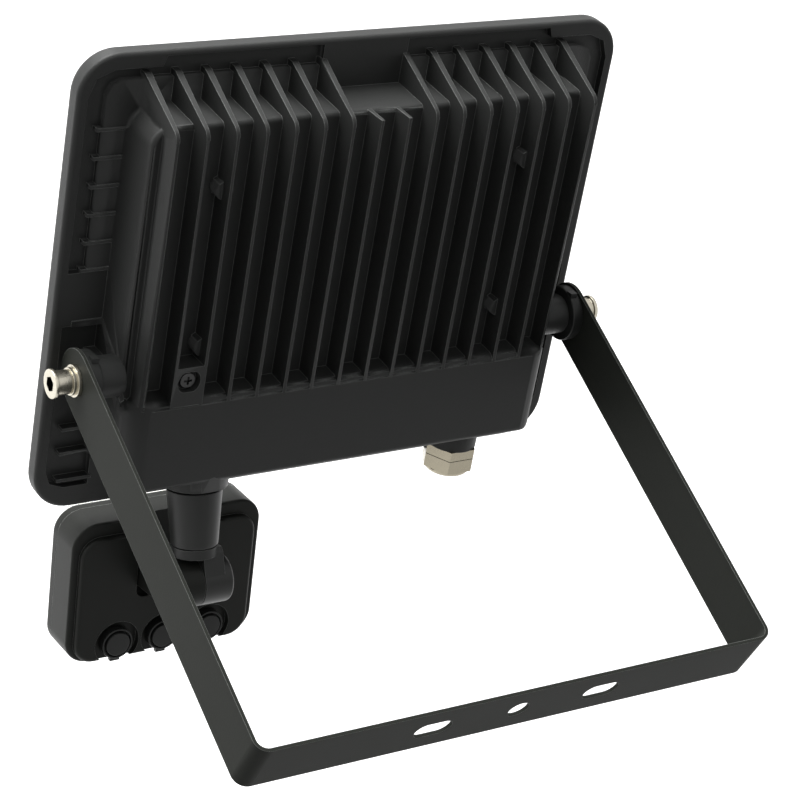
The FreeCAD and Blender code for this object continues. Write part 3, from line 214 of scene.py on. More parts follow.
def brushed_group():
    """Streaks along one direction, for turned and plated metal."""
    tree, start, end = group_tree(
        "Brushed streaks",
        (("Colour", "colour", (0.35, 0.35, 0.35, 1)), ("Roughness", "value", 0.25),
         ("Streak depth", "value", 0.12)),
        (("Colour", "colour"), ("Roughness", "value"), ("Height", "value")))
    place = add_node(tree, "ShaderNodeTexCoord", (-900, -300))
    stretch = add_node(tree, "ShaderNodeMapping", (-700, -300))
    stretch.inputs["Scale"].default_value = (6000.0, 500.0, 500.0)
    streaks = add_node(tree, "ShaderNodeTexNoise", (-450, -300), Scale=1.0, Detail=2.0)
    wire(tree, place.outputs["Object"], stretch.inputs["Vector"])
    wire(tree, stretch.outputs["Vector"], streaks.inputs["Vector"])
    gloss = add_node(tree, "ShaderNodeMath", (0, -300), operation="MULTIPLY_ADD")
    wire(tree, streaks.outputs["Fac"], gloss.inputs[0])
    wire(tree, start.outputs["Streak depth"], gloss.inputs[1])
    wire(tree, start.outputs["Roughness"], gloss.inputs[2])
    shade = add_node(tree, "ShaderNodeMath", (0, -100), operation="MULTIPLY_ADD")
    wire(tree, streaks.outputs["Fac"], shade.inputs[0])
    shade.inputs[1].default_value = 0.25
    shade.inputs[2].default_value = 0.86
    tint = add_node(tree, "ShaderNodeVectorMath", (250, 0), operation="SCALE")
    wire(tree, start.outputs["Colour"], tint.inputs[0])
    wire(tree, shade.outputs[0], tint.inputs["Scale"])
    wire(tree, tint.outputs[0], end.inputs["Colour"])
    wire(tree, gloss.outputs[0], end.inputs["Roughness"])
    wire(tree, streaks.outputs["Fac"], end.inputs["Height"])
    return tree


def edge_highlight_group():
    """A soft normal over sharp edges, and a mask of those edges where the painted highlight goes."""
    tree, start, end = group_tree("Edge highlight", (("Reach", "value", 0.0003), ("Contrast", "value", 5.0)),
                                  (("Edge", "value"),))
    tree.interface.new_socket(name="Normal", in_out="OUTPUT", socket_type="NodeSocketVector")
    soft = add_node(tree, "ShaderNodeBevel", (-600, 0), samples=6)
    wire(tree, start.outputs["Reach"], soft.inputs["Radius"])
    face = add_node(tree, "ShaderNodeNewGeometry", (-600, -300))
    facing = add_node(tree, "ShaderNodeVectorMath", (-350, -150), operation="DOT_PRODUCT")
    wire(tree, soft.outputs["Normal"], facing.inputs[0])
    wire(tree, face.outputs["Normal"], facing.inputs[1])
    turned = add_node(tree, "ShaderNodeMath", (-150, -150), operation="SUBTRACT")
    turned.inputs[0].default_value = 1.0
    wire(tree, facing.outputs["Value"], turned.inputs[1])
    mask = add_node(tree, "ShaderNodeMath", (50, -150), operation="MULTIPLY", use_clamp=True)
    wire(tree, turned.outputs[0], mask.inputs[0])
    wire(tree, start.outputs["Contrast"], mask.inputs[1])
    wire(tree, mask.outputs[0], end.inputs["Edge"])
    wire(tree, soft.outputs["Normal"], end.inputs["Normal"])
    return tree


def paint_edge_highlights(tree, shader, bump, grain, highlight_colour, reach):
    """Softens a coat's edges and paints a highlight on them: a lighter colour along the edge mask that stands
    in for light catching the edges.
    """
    highlight = add_node(tree, "ShaderNodeGroup", (-600, -400))
    highlight.node_tree = shared_group("Edge highlight", edge_highlight_group)
    highlight.inputs["Reach"].default_value = reach
    blend = add_node(tree, "ShaderNodeMix", (-250, 150), data_type="RGBA")
    wire(tree, highlight.outputs["Edge"], blend.inputs["Factor"])
    wire(tree, grain.outputs["Colour"], blend.inputs["A"])
    blend.inputs["B"].default_value = (*highlight_colour, 1)
    wire(tree, blend.outputs["Result"], shader.inputs["Base Color"])
    wire(tree, highlight.outputs["Normal"], bump.inputs["Normal"])


def shared_group(name, maker):
    return bpy.data.node_groups.get(name) or maker()


def coated(name, colour, roughness, pitch, depth, drift=0.15, gloss_drift=0.08, shine=0.5,
           highlight_colour=None, reach=0.0003):
    """A painted or moulded surface with fine grain, and a painted highlight along its edges when a highlight
    colour is given.
    """
    mat = bpy.data.materials.new(name)
    mat.use_nodes = True
    tree = mat.node_tree
    shader = tree.nodes["Principled BSDF"]
    grain = add_node(tree, "ShaderNodeGroup", (-600, 0))
    grain.node_tree = shared_group("Surface grain", surface_grain_group)
    grain.inputs["Colour"].default_value = (*colour, 1)
    grain.inputs["Grains per metre"].default_value = 1.0 / pitch
    grain.inputs["Colour drift"].default_value = drift
    grain.inputs["Roughness"].default_value = roughness
    grain.inputs["Gloss drift"].default_value = gloss_drift
    bump = add_node(tree, "ShaderNodeBump", (-300, -250), Strength=1.0, Distance=depth)
    wire(tree, grain.outputs["Colour"], shader.inputs["Base Color"])
    wire(tree, grain.outputs["Roughness"], shader.inputs["Roughness"])
    wire(tree, grain.outputs["Height"], bump.inputs["Height"])
    wire(tree, bump.outputs["Normal"], shader.inputs["Normal"])
    shader.inputs["Specular IOR Level"].default_value = shine
    # Painted highlight: a lighter colour blended in along the sharp edges.
    if highlight_colour:
        paint_edge_highlights(tree, shader, bump, grain, highlight_colour, reach)
    mat.diffuse_color = (*colour, 1)
    return mat


def metal(name, colour, roughness, streak):
    """A bare or plated metal with fine streaks."""
    mat = bpy.data.materials.new(name)
    mat.use_nodes = True
    tree = mat.node_tree
    shader = tree.nodes["Principled BSDF"]
    shader.inputs["Metallic"].default_value = 1.0
    brushed = add_node(tree, "ShaderNodeGroup", (-600, 0))
    brushed.node_tree = shared_group("Brushed streaks", brushed_group)
    brushed.inputs["Colour"].default_value = (*colour, 1)
    brushed.inputs["Roughness"].default_value = roughness
    brushed.inputs["Streak depth"].default_value = streak
    bump = add_node(tree, "ShaderNodeBump", (-300, -250), Strength=0.6, Distance=0.00001)
    wire(tree, brushed.outputs["Colour"], shader.inputs["Base Color"])
    wire(tree, brushed.outputs["Roughness"], shader.inputs["Roughness"])
    wire(tree, brushed.outputs["Height"], bump.inputs["Height"])
    wire(tree, bump.outputs["Normal"], shader.inputs["Normal"])
    mat.diffuse_color = (*colour, 1)
    return mat


def pane(name, colour):
    mat = bpy.data.materials.new(name)
    mat.use_nodes = True
    shader = mat.node_tree.nodes["Principled BSDF"]
    shader.inputs["Base Color"].default_value = (*colour, 1)
    shader.inputs["Roughness"].default_value = 0.03
    shader.inputs["IOR"].default_value = 1.5
    shader.inputs["Transmission Weight"].default_value = 1.0
    return mat


def dress(material, *names):
    """Gives CAD nodes one material on all their slots."""
    for name in names:
        node = frame["nodes"][name]
        if not node.data.materials:
            node.data.materials.append(material)
        for k in range(len(node.data.materials)):
            node.data.materials[k] = material


# Frames of the lamp and the sensor head, and the modelling helpers

MM = 0.001
ARM_LENGTH = frame["record"]["behaviour"]["joints"][0]["pos_m"][1]
PIVOT_BACK = 11.2 * MM
PIVOT_UP = Vector((0.0, 0.0, PIVOT_BACK))
LAMP = (Matrix.Translation((0, ARM_LENGTH, 0)) @ Matrix.Rotation(math.radians(66), 4, "X")
        @ Matrix.Translation((0, 0, -PIVOT_BACK)))
NECK = (LAMP @ Matrix.Translation(Vector((-48.5, -48.3, 13.0)) * MM)
        @ Matrix.Rotation(math.radians(-15), 4, "X"))
HEAD = NECK @ Matrix.Translation((0, -33 * MM, 0)) @ Matrix.Rotation(math.radians(10), 4, "X")


def merged_copy(node, matrix):
    """A merged copy of a CAD node's mesh in a frame of its own."""
    bm = bmesh.new()
    bm.from_mesh(frame["nodes"][node].data)
    bmesh.ops.remove_doubles(bm, verts=bm.verts, dist=1e-6)
    bmesh.ops.transform(bm, matrix=matrix.inverted(), verts=bm.verts)
    return bm


def lathe(profile, steps=48):
    """A turned form round Z from points of radius and height."""
    bm = bmesh.new()
    spots = [bm.verts.new((radius, 0, height)) for radius, height in profile]
    rails = [bm.edges.new(pair) for pair in zip(spots, spots[1:])]
    bmesh.ops.spin(bm, geom=spots + rails, cent=(0, 0, 0), axis=(0, 0, 1), angle=math.tau, steps=steps,
                   use_merge=True)
    bmesh.ops.remove_doubles(bm, verts=bm.verts, dist=1e-7)
    bmesh.ops.recalc_face_normals(bm, faces=bm.faces)
    return bm


def ring_form(bore, radius, low, top, steps=48):
    """A plain ring round Z between two heights."""
    return lathe([(bore, low), (radius, low), (radius, top), (bore, top), (bore, low)], steps)


def round_edges(bm, offset, least_turn=0.7, segments=2):
    """Breaks every edge that turns by more than the least turn."""
    edges = [e for e in bm.edges if len(e.link_faces) == 2 and e.calc_face_angle() > least_turn]
    bmesh.ops.bevel(bm, geom=edges, offset=offset, segments=segments, profile=0.5, affect="EDGES",
                    material=-1, clamp_overlap=True)


def finished(name, bm, matrix, body, material, replaced):
    """Turns a mesh in progress into a finished piece on its body."""
    bmesh.ops.transform(bm, matrix=matrix, verts=bm.verts)
    if matrix.to_3x3().determinant() < 0:
        bmesh.ops.reverse_faces(bm, faces=bm.faces)
    for face in bm.faces:
        face.smooth = True
    mesh = bpy.data.meshes.new(name)
    bm.to_mesh(mesh)
    bm.free()
    mesh.set_sharp_from_angle(angle=0.5)
    mesh.materials.append(material)
    piece = bpy.data.objects.new(name, mesh)
    bpy.context.scene.collection.objects.link(piece)
    even = piece.modifiers.new("Even shading", "WEIGHTED_NORMAL")
    even.mode = "FACE_AREA"
    even.weight = 100
    even.keep_sharp = True
    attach(piece, body)
    if replaced:
        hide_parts(*replaced)
    return piece


def both_ends(maker):
    """The form that a maker gives along +Z, put at both ends of the tilt axis."""
    whole = bmesh.new()
    for side in (1, -1):
        one = maker(side)
        turn = Matrix.Translation(PIVOT_UP) @ Matrix.Rotation(math.radians(90 * side), 4, "Y")
        bmesh.ops.transform(one, matrix=turn, verts=one.verts)
        carrier = bpy.data.meshes.new("end")
        one.to_mesh(carrier)
        one.free()
        whole.from_mesh(carrier)
        bpy.data.meshes.remove(carrier)
    return whole


# The casting, with its places in the lamp's own frame
# A vertex closer than TOUCH to a plane lies on it, and NEAR is the slack on slanted or round faces

TOUCH, NEAR, FLAT_TURN = 1e-5, 1e-4, 0.004
DRAFT = math.tan(math.radians(4.3))
BODY_HALF, BOX_BACK, BOX_TOP, BOX_BOTTOM, BOX_CORNER = 0.0845, 0.024, -0.0035, -0.0423, 0.009
BOX_FOOT, BOX_SKIN, SHOULDER_CUTS = -0.002, 0.0005, (5, 14, 23, 32, 41)
BOSS_SKIN, BOSS_DEPTH, BOSS_SLACK = 0.0005, 0.003, 2.5e-4
LOBE_FACE, LOBE_REACH, LOBE_RISE = 0.00205, 0.0118, 0.0035
CAD_POCKET, CAD_BOSS, CAD_BOSS_END, FIN_PITCH = -0.0016, 0.010, 0.090, 0.0105


def with_edges(faces):
    """Faces with the edges and vertices that belong to them."""
    edges = dict.fromkeys(e for f in faces for e in f.edges)
    verts = dict.fromkeys(v for f in faces for v in f.verts)
    return faces + list(edges) + list(verts)


def slice_box(bm, centre_x, centre_z, radius):
    """Cuts rows of edges along the deep box, where its shoulders will turn."""
    for side in (-1, 1):
        for angle in SHOULDER_CUTS:
            step = math.tan(math.radians(angle)) * radius
            for spot, way in (((side * (centre_x + step), 0, 0), (1, 0, 0)),
                              ((0, 0, centre_z + step), (0, 0, 1))):
                faces = []
                for face in bm.faces:
                    middle = face.calc_center_median()
                    if (middle.z > 0 and middle.x * side > centre_x * 0.5
                            and max(v.co.y for v in face.verts) < BOX_TOP + BOX_SKIN):
                        faces.append(face)
                bmesh.ops.bisect_plane(bm, geom=with_edges(faces), plane_co=spot, plane_no=way, dist=1e-6)


def square_lobe(bm):
    """Cuts the lobe's end square to the neck that leans out of it."""
    leaning = LAMP.inverted() @ NECK
    spot = leaning @ Vector((0, LOBE_FACE, 0))
    way = leaning.to_3x3() @ Vector((0, 1, 0))
    axis = leaning.translation

    def on_lobe(vert):
        return (math.hypot(vert.co.x - axis.x, vert.co.z - axis.z) < LOBE_REACH
                and vert.co.y < BOX_BOTTOM + LOBE_RISE)

    faces = [f for f in bm.faces if all(on_lobe(v) for v in f.verts)]
    bmesh.ops.bisect_plane(bm, geom=with_edges(faces), plane_co=spot, plane_no=way, clear_inner=True,
                           dist=1e-6)
    bmesh.ops.holes_fill(bm, edges=[e for e in bm.edges if len(e.link_faces) == 1], sides=0)


def shape_casting(bm, forms):
    """Rounds the deep box's shoulders, squares its lower end, deepens pockets and slims the bosses."""
    radius = forms.shoulder
    lean = math.atan(DRAFT)
    centre_z = BOX_BACK - radius
    centre_x = BODY_HALF - (radius + centre_z * math.sin(lean)) / math.cos(lean)
    slice_box(bm, centre_x, centre_z, radius)
    for vert in bm.verts:
        x, y, z = vert.co
        if abs(z - CAD_POCKET) < TOUCH:
            vert.co.z = forms.pocket_floor
        if abs(z - BOX_BACK) < TOUCH and y > BOX_TOP + TOUCH:
            middle = (math.floor(x / FIN_PITCH) + 0.5) * FIN_PITCH
            vert.co.x = middle + (x - middle) * forms.fin_tip
        held = BOX_BOTTOM + BOX_CORNER
        if BOX_BOTTOM - TOUCH < y < held and abs(x) < BODY_HALF + TOUCH and z > BOX_FOOT:
            foot = BOX_BOTTOM + DRAFT * max(z, 0.0)
            vert.co.y = held + (y - held) * (held - forms.box_end) / (held - foot)
        if y < BOX_TOP + TOUCH and centre_x < abs(x) < BODY_HALF - DRAFT * z + NEAR and z > centre_z:
            reach = math.hypot(abs(x) - centre_x, z - centre_z)
            if reach > radius:
                vert.co.x = math.copysign(centre_x + (abs(x) - centre_x) * radius / reach, x)
                vert.co.z = centre_z + (z - centre_z) * radius / reach
        around = math.hypot(y, z - PIVOT_BACK)
        if abs(x) > BODY_HALF - BOSS_DEPTH and abs(around - CAD_BOSS) < BOSS_SLACK:
            share = (forms.boss_radius - BOSS_SKIN) / CAD_BOSS
            vert.co.y = y * share
            vert.co.z = PIVOT_BACK + (z - PIVOT_BACK) * share
        if abs(abs(x) - CAD_BOSS_END) < TOUCH and around < CAD_BOSS + NEAR:
            vert.co.x = math.copysign(forms.boss_end, x)
    square_lobe(bm)
    bmesh.ops.dissolve_degenerate(bm, dist=2e-6, edges=bm.edges)
    bmesh.ops.dissolve_limit(bm, angle_limit=FLAT_TURN, verts=bm.verts, edges=bm.edges)


class FLOODLIGHT_OT_casting(bpy.types.Operator):
    """The finned casting with its round shoulders"""
    bl_idname = "floodlight.casting"
    bl_label = "Casting"

    def execute(self, context):
        look = context.scene.floodlight_finishes
        coat = coated("Casting coat", look.cast_colour, 0.46, look.grain_pitch, look.grain_depth, shine=0.2,
                      highlight_colour=look.edge_highlight_colour)
        bm = merged_copy("housing", LAMP)
        shape_casting(bm, context.scene.floodlight_forms)
        finished("casting", bm, LAMP, "lamp", coat, ["housing"])
        return {"FINISHED"}


# Turned hardware of the pivots

ARM_FACE, ARM_BACK, BOSS_FOOT = 0.0974, 0.0962, 0.0825
WASHER_BORE, WASHER_RADIUS, WASHER_LONG = 0.0032, 0.0054, 0.0012
SPRING_BORE, SPRING_RADIUS, SPRING_LONG = 0.0031, 0.0046, 0.0013
THREAD, THREAD_LONG, SHANK, HEAD_LONG, KEY_DEEP = 0.003, 0.006, 0.004, 0.0013, 0.0025
HEAD_RIM = 0.7
LUG, LUG_RISE, LUG_SUNK, LUG_TURN = 0.0026, 0.0016, 0.0002, math.radians(23)
BOSS_GAP, DISC_GAP = 2e-5, 5e-5


def flat_washer(side):
    bm = ring_form(WASHER_BORE, WASHER_RADIUS, ARM_FACE, ARM_FACE + WASHER_LONG)
    round_edges(bm, 0.00015)
    return bm


def spring_washer(side):
    foot = ARM_FACE + WASHER_LONG
    bm = ring_form(SPRING_BORE, SPRING_RADIUS, foot, foot + SPRING_LONG)
    round_edges(bm, 0.0001)
    return bm


def bolt_maker(forms):
    """Gives the maker of one socket bolt: its thread, shoulder, head and hexagon socket."""
    seat = ARM_FACE + WASHER_LONG + SPRING_LONG
    head_foot = forms.bolt_end - HEAD_LONG

    def bolt(side):
        bm = lathe([(0.0, ARM_BACK - THREAD_LONG), (THREAD, ARM_BACK - THREAD_LONG), (THREAD, seat),
                    (SHANK, seat), (SHANK, head_foot), (forms.bolt_head, head_foot),
                    (forms.bolt_head, forms.bolt_end), (forms.bolt_head * HEAD_RIM, forms.bolt_end)])
        round_edges(bm, 0.0003)
        rim = [e for e in bm.edges if len(e.link_faces) == 1]
        key = bmesh.ops.create_circle(bm, segments=6, radius=forms.key_across / math.sqrt(3),
                                      matrix=Matrix.Translation((0, 0, forms.bolt_end)))
        ring = list(dict.fromkeys(e for v in key["verts"] for e in v.link_edges))
        bmesh.ops.bridge_loops(bm, edges=rim + ring)
        sunk = bmesh.ops.extrude_edge_only(bm, edges=ring)["geom"]
        low = [g for g in sunk if isinstance(g, bmesh.types.BMVert)]
        bmesh.ops.translate(bm, verts=low, vec=(0, 0, -KEY_DEEP))
        bmesh.ops.contextual_create(bm, geom=[g for g in sunk if isinstance(g, bmesh.types.BMEdge)
                                              and len(g.link_faces) == 1])
        bmesh.ops.recalc_face_normals(bm, faces=bm.faces)
        return bm
    return bolt


def boss_maker(forms):
    """Gives the maker of the cast boss behind one pivot disc."""
    top = forms.boss_end - BOSS_GAP

    def boss(side):
        bm = lathe([(0.0, BOSS_FOOT), (forms.boss_radius, BOSS_FOOT), (forms.boss_radius, top),
                    (0.0, top)], 64)
        round_edges(bm, 0.0003)
        return bm
    return boss


def disc_maker(forms):
    """Gives the maker of one pivot disc, with its small lug."""
    def disc(side):
        bm = ring_form(WASHER_BORE, forms.disc_radius, forms.boss_end + DISC_GAP, ARM_BACK - DISC_GAP, 64)
        round_edges(bm, 0.0006, segments=3)
        lug = bmesh.ops.create_cube(bm, size=1.0)["verts"]
        bmesh.ops.scale(bm, vec=(LUG, LUG, LUG), verts=lug)
        around = Vector((-side * math.sin(LUG_TURN), math.cos(LUG_TURN), 0)) * (forms.disc_radius - LUG_SUNK)
        bmesh.ops.translate(bm, vec=around + Vector((0, 0, forms.boss_end + LUG_RISE)), verts=lug)
        return bm
    return disc


class FLOODLIGHT_OT_pivots(bpy.types.Operator):
    """Socket bolts, washers and discs of both pivots"""
    bl_idname = "floodlight.pivots"
    bl_label = "Pivot hardware"

    def execute(self, context):
        look, forms = context.scene.floodlight_finishes, context.scene.floodlight_forms
        steel = metal("Bright steel", look.steel_colour, 0.22, 0.14)
        plastic = coated("Disc plastic", look.plastic_colour, 0.42, 0.0005, 0.00002, drift=0.08, shine=0.2)
        coat = bpy.data.materials["Casting coat"]
        for name, maker, slot, material, replaced in (
                ("pivot_bolt_pair", bolt_maker(forms), "bright_steel", steel, ["pivot_bolts"]),
                ("flat_washer_pair", flat_washer, "bright_steel", steel, ["flat_washers"]),
                ("spring_washer_pair", spring_washer, "bright_steel", steel, ["spring_washers"]),
                ("pivot_disc_pair", disc_maker(forms), "black_plastic", plastic, ["pivot_discs"]),
                ("pivot_boss_pair", boss_maker(forms), "cast_paint", coat, [])):
            finished(name, both_ends(maker), LAMP, "lamp", material, replaced)
        return {"FINISHED"}


# Neck and knuckle

COLLAR_LOW, COLLAR_STEP, COLLAR_TOP, SEAL_TOP = -0.0193, 0.0012, 0.00085, 0.002
COLLAR_FOOT, COLLAR_BODY, COLLAR_HEAD, SEAL_RADIUS = 0.008, 0.0082, 0.0096, 0.0091
SOCKET, SOCKET_END, SPIGOT, SPIGOT_END, DUCT = 0.00505, -0.008, 0.0058, 0.0155, 0.0022
UP_NECK = NECK @ Matrix.Rotation(math.radians(-90), 4, "X")


def collar_form():
    """The tapered collar with its spigot and the socket that the swivel turns in."""
    bm = lathe([(SOCKET, COLLAR_LOW), (COLLAR_FOOT, COLLAR_LOW), (COLLAR_BODY, COLLAR_LOW + COLLAR_STEP),
                (COLLAR_HEAD, COLLAR_TOP), (SPIGOT, COLLAR_TOP), (SPIGOT, SPIGOT_END), (DUCT, SPIGOT_END),
                (DUCT, SOCKET_END), (SOCKET, SOCKET_END), (SOCKET, COLLAR_LOW)], 64)
    round_edges(bm, 0.0004, segments=3)
    return bm


# Where the solid's recess has its walls, in mm of the head's frame, and how far each moves inwards

LEFT_WALL, LEFT_STEP, RIGHT_WALL, RIGHT_STEP = (-20.6, -17.4), 8.6, (14.4, 17.6), -5.9
RECESS_LOW, RECESS_FLOOR = -14.1, -23.5


def sensor_back_form():
    """The sensor's back with a recess only as wide as the knuckle, which stays where it is."""
    bm = merged_copy("sensor_back", HEAD)
    bmesh.ops.dissolve_limit(bm, angle_limit=FLAT_TURN, verts=bm.verts, edges=bm.edges)
    for vert in bm.verts:
        x, y, z = vert.co / MM
        in_recess = y > RECESS_LOW and z > RECESS_FLOOR
        if LEFT_WALL[0] < x < LEFT_WALL[1] and in_recess:
            vert.co.x += LEFT_STEP * MM
        elif RIGHT_WALL[0] < x < RIGHT_WALL[1] and in_recess:
            vert.co.x += RIGHT_STEP * MM
    return bm


def shell_material(look):
    """The moulded finish that both halves of the sensor share."""
    return bpy.data.materials.get("Sensor shell") or coated(
        "Sensor shell", look.shell_colour, 0.42, 0.0006, 0.00003, drift=0.1, shine=0.12,
        highlight_colour=look.edge_highlight_colour)


class FLOODLIGHT_OT_neck(bpy.types.Operator):
    """Collar, seal, swivel and the sensor's back"""
    bl_idname = "floodlight.neck"
    bl_label = "Neck and knuckle"

    def execute(self, context):
        look = context.scene.floodlight_finishes
        plastic = coated("Neck plastic", look.plastic_colour, 0.40, 0.0005, 0.00002, drift=0.08, shine=0.3,
                         highlight_colour=look.edge_highlight_colour, reach=0.00025)
        rubber = coated("Seal rubber", (0.006, 0.006, 0.006), 0.8, 0.0007, 0.00003, shine=0.1)
        finished("neck_collar_turned", collar_form(), UP_NECK, "lamp", plastic,
                 ["neck_collar"])
        seal = ring_form(SPIGOT + NEAR, SEAL_RADIUS, COLLAR_TOP, SEAL_TOP, 64)
        finished("neck_seal_ring", seal, UP_NECK, "lamp", rubber, ["neck_seal"])
        dress(plastic, "swivel")
        finished("sensor_back_moulded", sensor_back_form(), HEAD, "sensor",
                 shell_material(look), ["sensor_back"])
        return {"FINISHED"}


# Knobs of the sensor

KNOB_PITCH, KNOB_UP, HEAD_PLATE, WELL_FLOOR = 0.0178, -0.0308, -0.0184, -0.0022
CAP_RISE, GROOVE_RISE, RING_RISE, RING_WALL, MOULD_TAPER = 0.0034, 0.0018, 0.0029, 0.0008, 0.0001
TAB_SIZE, TAB_OUT, TAB_RISE = (0.0036, 0.0024, 0.0016), 0.0003, 0.0008


def knob_form(forms):
    """A cap with a soft edge, inside a ring, with a small finger tab at its lower side."""
    cap, ring = forms.knob_cap, forms.knob_ring
    top, groove, rim = WELL_FLOOR + CAP_RISE, WELL_FLOOR + GROOVE_RISE, WELL_FLOOR + RING_RISE
    bm = lathe([(0.0, top + MOULD_TAPER), (cap * 0.55, top), (cap, top), (cap + MOULD_TAPER, groove),
                (ring - RING_WALL, groove), (ring - RING_WALL + MOULD_TAPER, rim), (ring, rim),
                (ring + MOULD_TAPER, WELL_FLOOR), (0.0, WELL_FLOOR)])
    round_edges(bm, 0.00035, segments=3)
    tab = bmesh.ops.create_cube(bm, size=1.0)["verts"]
    bmesh.ops.scale(bm, vec=TAB_SIZE, verts=tab)
    bmesh.ops.translate(bm, vec=(0, -ring - TAB_OUT, WELL_FLOOR + TAB_RISE), verts=tab)
    return bm


class FLOODLIGHT_OT_knobs(bpy.types.Operator):
    """The three knobs along the sensor's lower edge"""
    bl_idname = "floodlight.knobs"
    bl_label = "Knobs"

    def execute(self, context):
        look, forms = context.scene.floodlight_finishes, context.scene.floodlight_forms
        plastic = coated("Knob plastic", look.plastic_colour, 0.36, 0.0005, 0.00001, drift=0.05, shine=0.2)
        for place, name in enumerate(("lux", "time", "range"), -1):
            spot = HEAD @ Matrix.Translation((place * KNOB_PITCH, KNOB_UP, HEAD_PLATE))
            finished(f"knob_cap_{name}", knob_form(forms), spot, f"{name}_knob", plastic,
                     [f"knob_{name}"])
        return {"FINISHED"}


# Finishes of the CAD nodes

class FLOODLIGHT_OT_coats(bpy.types.Operator):
    """Powder coat of the bracket"""
    bl_idname = "floodlight.coats"
    bl_label = "Powder coats"

    def execute(self, context):
        look = context.scene.floodlight_finishes
        dress(coated("Bracket coat", look.bracket_colour, 0.45, look.grain_pitch * 0.8,
                     look.grain_depth * 0.7, shine=0.03, highlight_colour=look.edge_highlight_colour), "bracket")
        return {"FINISHED"}


class FLOODLIGHT_OT_hardware(bpy.types.Operator):
    """Nuts, screws and the cable gland"""
    bl_idname = "floodlight.hardware"
    bl_label = "Metal hardware"

    def execute(self, context):
        look = context.scene.floodlight_finishes
        dress(metal("Gland nickel", look.nickel_colour, 0.2, 0.1), "gland_body", "gland_nut", "gland_locknut")
        dress(metal("Zinc plate", (0.55, 0.56, 0.58), 0.32, 0.12), "neck_nut", "knuckle_nut",
              "board_screws", "pyro_sensor")
        dress(metal("Blackened steel", (0.05, 0.05, 0.05), 0.4, 0.1), "back_screw",
              "knuckle_screw")
        return {"FINISHED"}


class FLOODLIGHT_OT_plastics(bpy.types.Operator):
    """Front of the sensor's shell, and the rubber seals"""
    bl_idname = "floodlight.plastics"
    bl_label = "Plastics and rubber"

    def execute(self, context):
        dress(shell_material(context.scene.floodlight_finishes), "sensor_front")
        dress(coated("Black rubber", (0.02, 0.02, 0.02), 0.75, 0.0007, 0.00003), "glass_gasket", "gland_seal")
        return {"FINISHED"}


# Name, colour, roughness, grain pitch, grain depth, colour drift and nodes of each finish inside the lamp

INNER_FINISHES = (
    ("Tray white", (0.80, 0.80, 0.77), 0.35, 0.001, 0.00001, 0.04, ["reflector"]),
    ("White board", (0.84, 0.84, 0.80), 0.4, 0.0015, 0.00001, 0.05, ["led_board"]),
    ("Phosphor", (0.85, 0.62, 0.10), 0.3, 0.0004, 0.00002, 0.1, ["led_chips"]),
    ("Green board", (0.02, 0.13, 0.06), 0.35, 0.0008, 0.00001, 0.15, ["driver_board", "sensor_board"]),
    ("Core tape", (0.55, 0.42, 0.08), 0.45, 0.001, 0.00003, 0.15, ["driver_transformer"]),
    ("Capacitor sleeve", (0.03, 0.03, 0.05), 0.25, 0.002, 0.00001, 0.15, ["driver_capacitor"]),
    ("Terminal grey", (0.4, 0.4, 0.38), 0.5, 0.0007, 0.00002, 0.15, ["terminal_block"]),
)


class FLOODLIGHT_OT_light_engine(bpy.types.Operator):
    """Glass, tray, circuit boards and their components"""
    bl_idname = "floodlight.light_engine"
    bl_label = "Glass and light engine"

    def execute(self, context):
        dress(pane("Clear glass", (0.95, 0.98, 0.97)), "glass")
        for name, colour, roughness, pitch, depth, drift, nodes in INNER_FINISHES:
            dress(coated(name, colour, roughness, pitch, depth, drift=drift), *nodes)
        return {"FINISHED"}


# Sensor lens

LENS_CENTRE, LENS_RADIUS, LENS_TRIM, LENS_LOW, LENS_TOP = -0.0246, 0.0346, 0.009, -0.033, 0.012
FACET_FRAME, FACET_SLOPE, FACET_LIFT, FACET_CROWN = 0.0005, 0.0016, 0.5, 0.6


def lens_material(colour):
    mat = coated("Milky lens", colour, 0.35, 0.0008, 0.00001, drift=0.03)
    shader = mat.node_tree.nodes["Principled BSDF"]
    shader.inputs["Subsurface Weight"].default_value = 0.3
    shader.inputs["Subsurface Radius"].default_value = (0.002, 0.002, 0.0018)
    return mat


def lens_form(sizes):
    """A bowed front of domed facets, closed by a flat cap at each end."""
    bm = bmesh.new()
    radius = LENS_RADIUS - sizes.facet_bulge * 2
    reach = math.acos(LENS_TRIM / radius)
    turns = [reach * (2 * k / sizes.columns - 1) for k in range(sizes.columns + 1)]
    spots = [bm.verts.new((radius * math.sin(a), LENS_LOW, LENS_CENTRE - radius * math.cos(a)))
             for a in turns]
    for pair in zip(spots, spots[1:]):
        bm.edges.new(pair)
    bm.faces.new(spots)
    row, facets = [e for e in bm.edges if set(e.verts) != {spots[0], spots[-1]}], []
    rise = (LENS_TOP - LENS_LOW) / sizes.rows
    for level in range(sizes.rows):
        grown = bmesh.ops.extrude_edge_only(bm, edges=row)["geom"]
        bmesh.ops.translate(bm, verts=[g for g in grown if isinstance(g, bmesh.types.BMVert)],
                            vec=(0, rise, 0))
        facets += [g for g in grown if isinstance(g, bmesh.types.BMFace)]
        row = [g for g in grown if isinstance(g, bmesh.types.BMEdge)
               and all(abs(v.co.y - LENS_LOW - rise * (level + 1)) < 1e-6 for v in g.verts)]
    bmesh.ops.contextual_create(bm, geom=row)
    bmesh.ops.holes_fill(bm, edges=[e for e in bm.edges if len(e.link_faces) == 1], sides=0)
    bmesh.ops.recalc_face_normals(bm, faces=bm.faces)
    bmesh.ops.inset_individual(bm, faces=facets, thickness=FACET_FRAME, depth=sizes.facet_bulge * FACET_LIFT)
    bmesh.ops.inset_individual(bm, faces=facets, thickness=FACET_SLOPE, depth=sizes.facet_bulge * FACET_CROWN)
    return bm


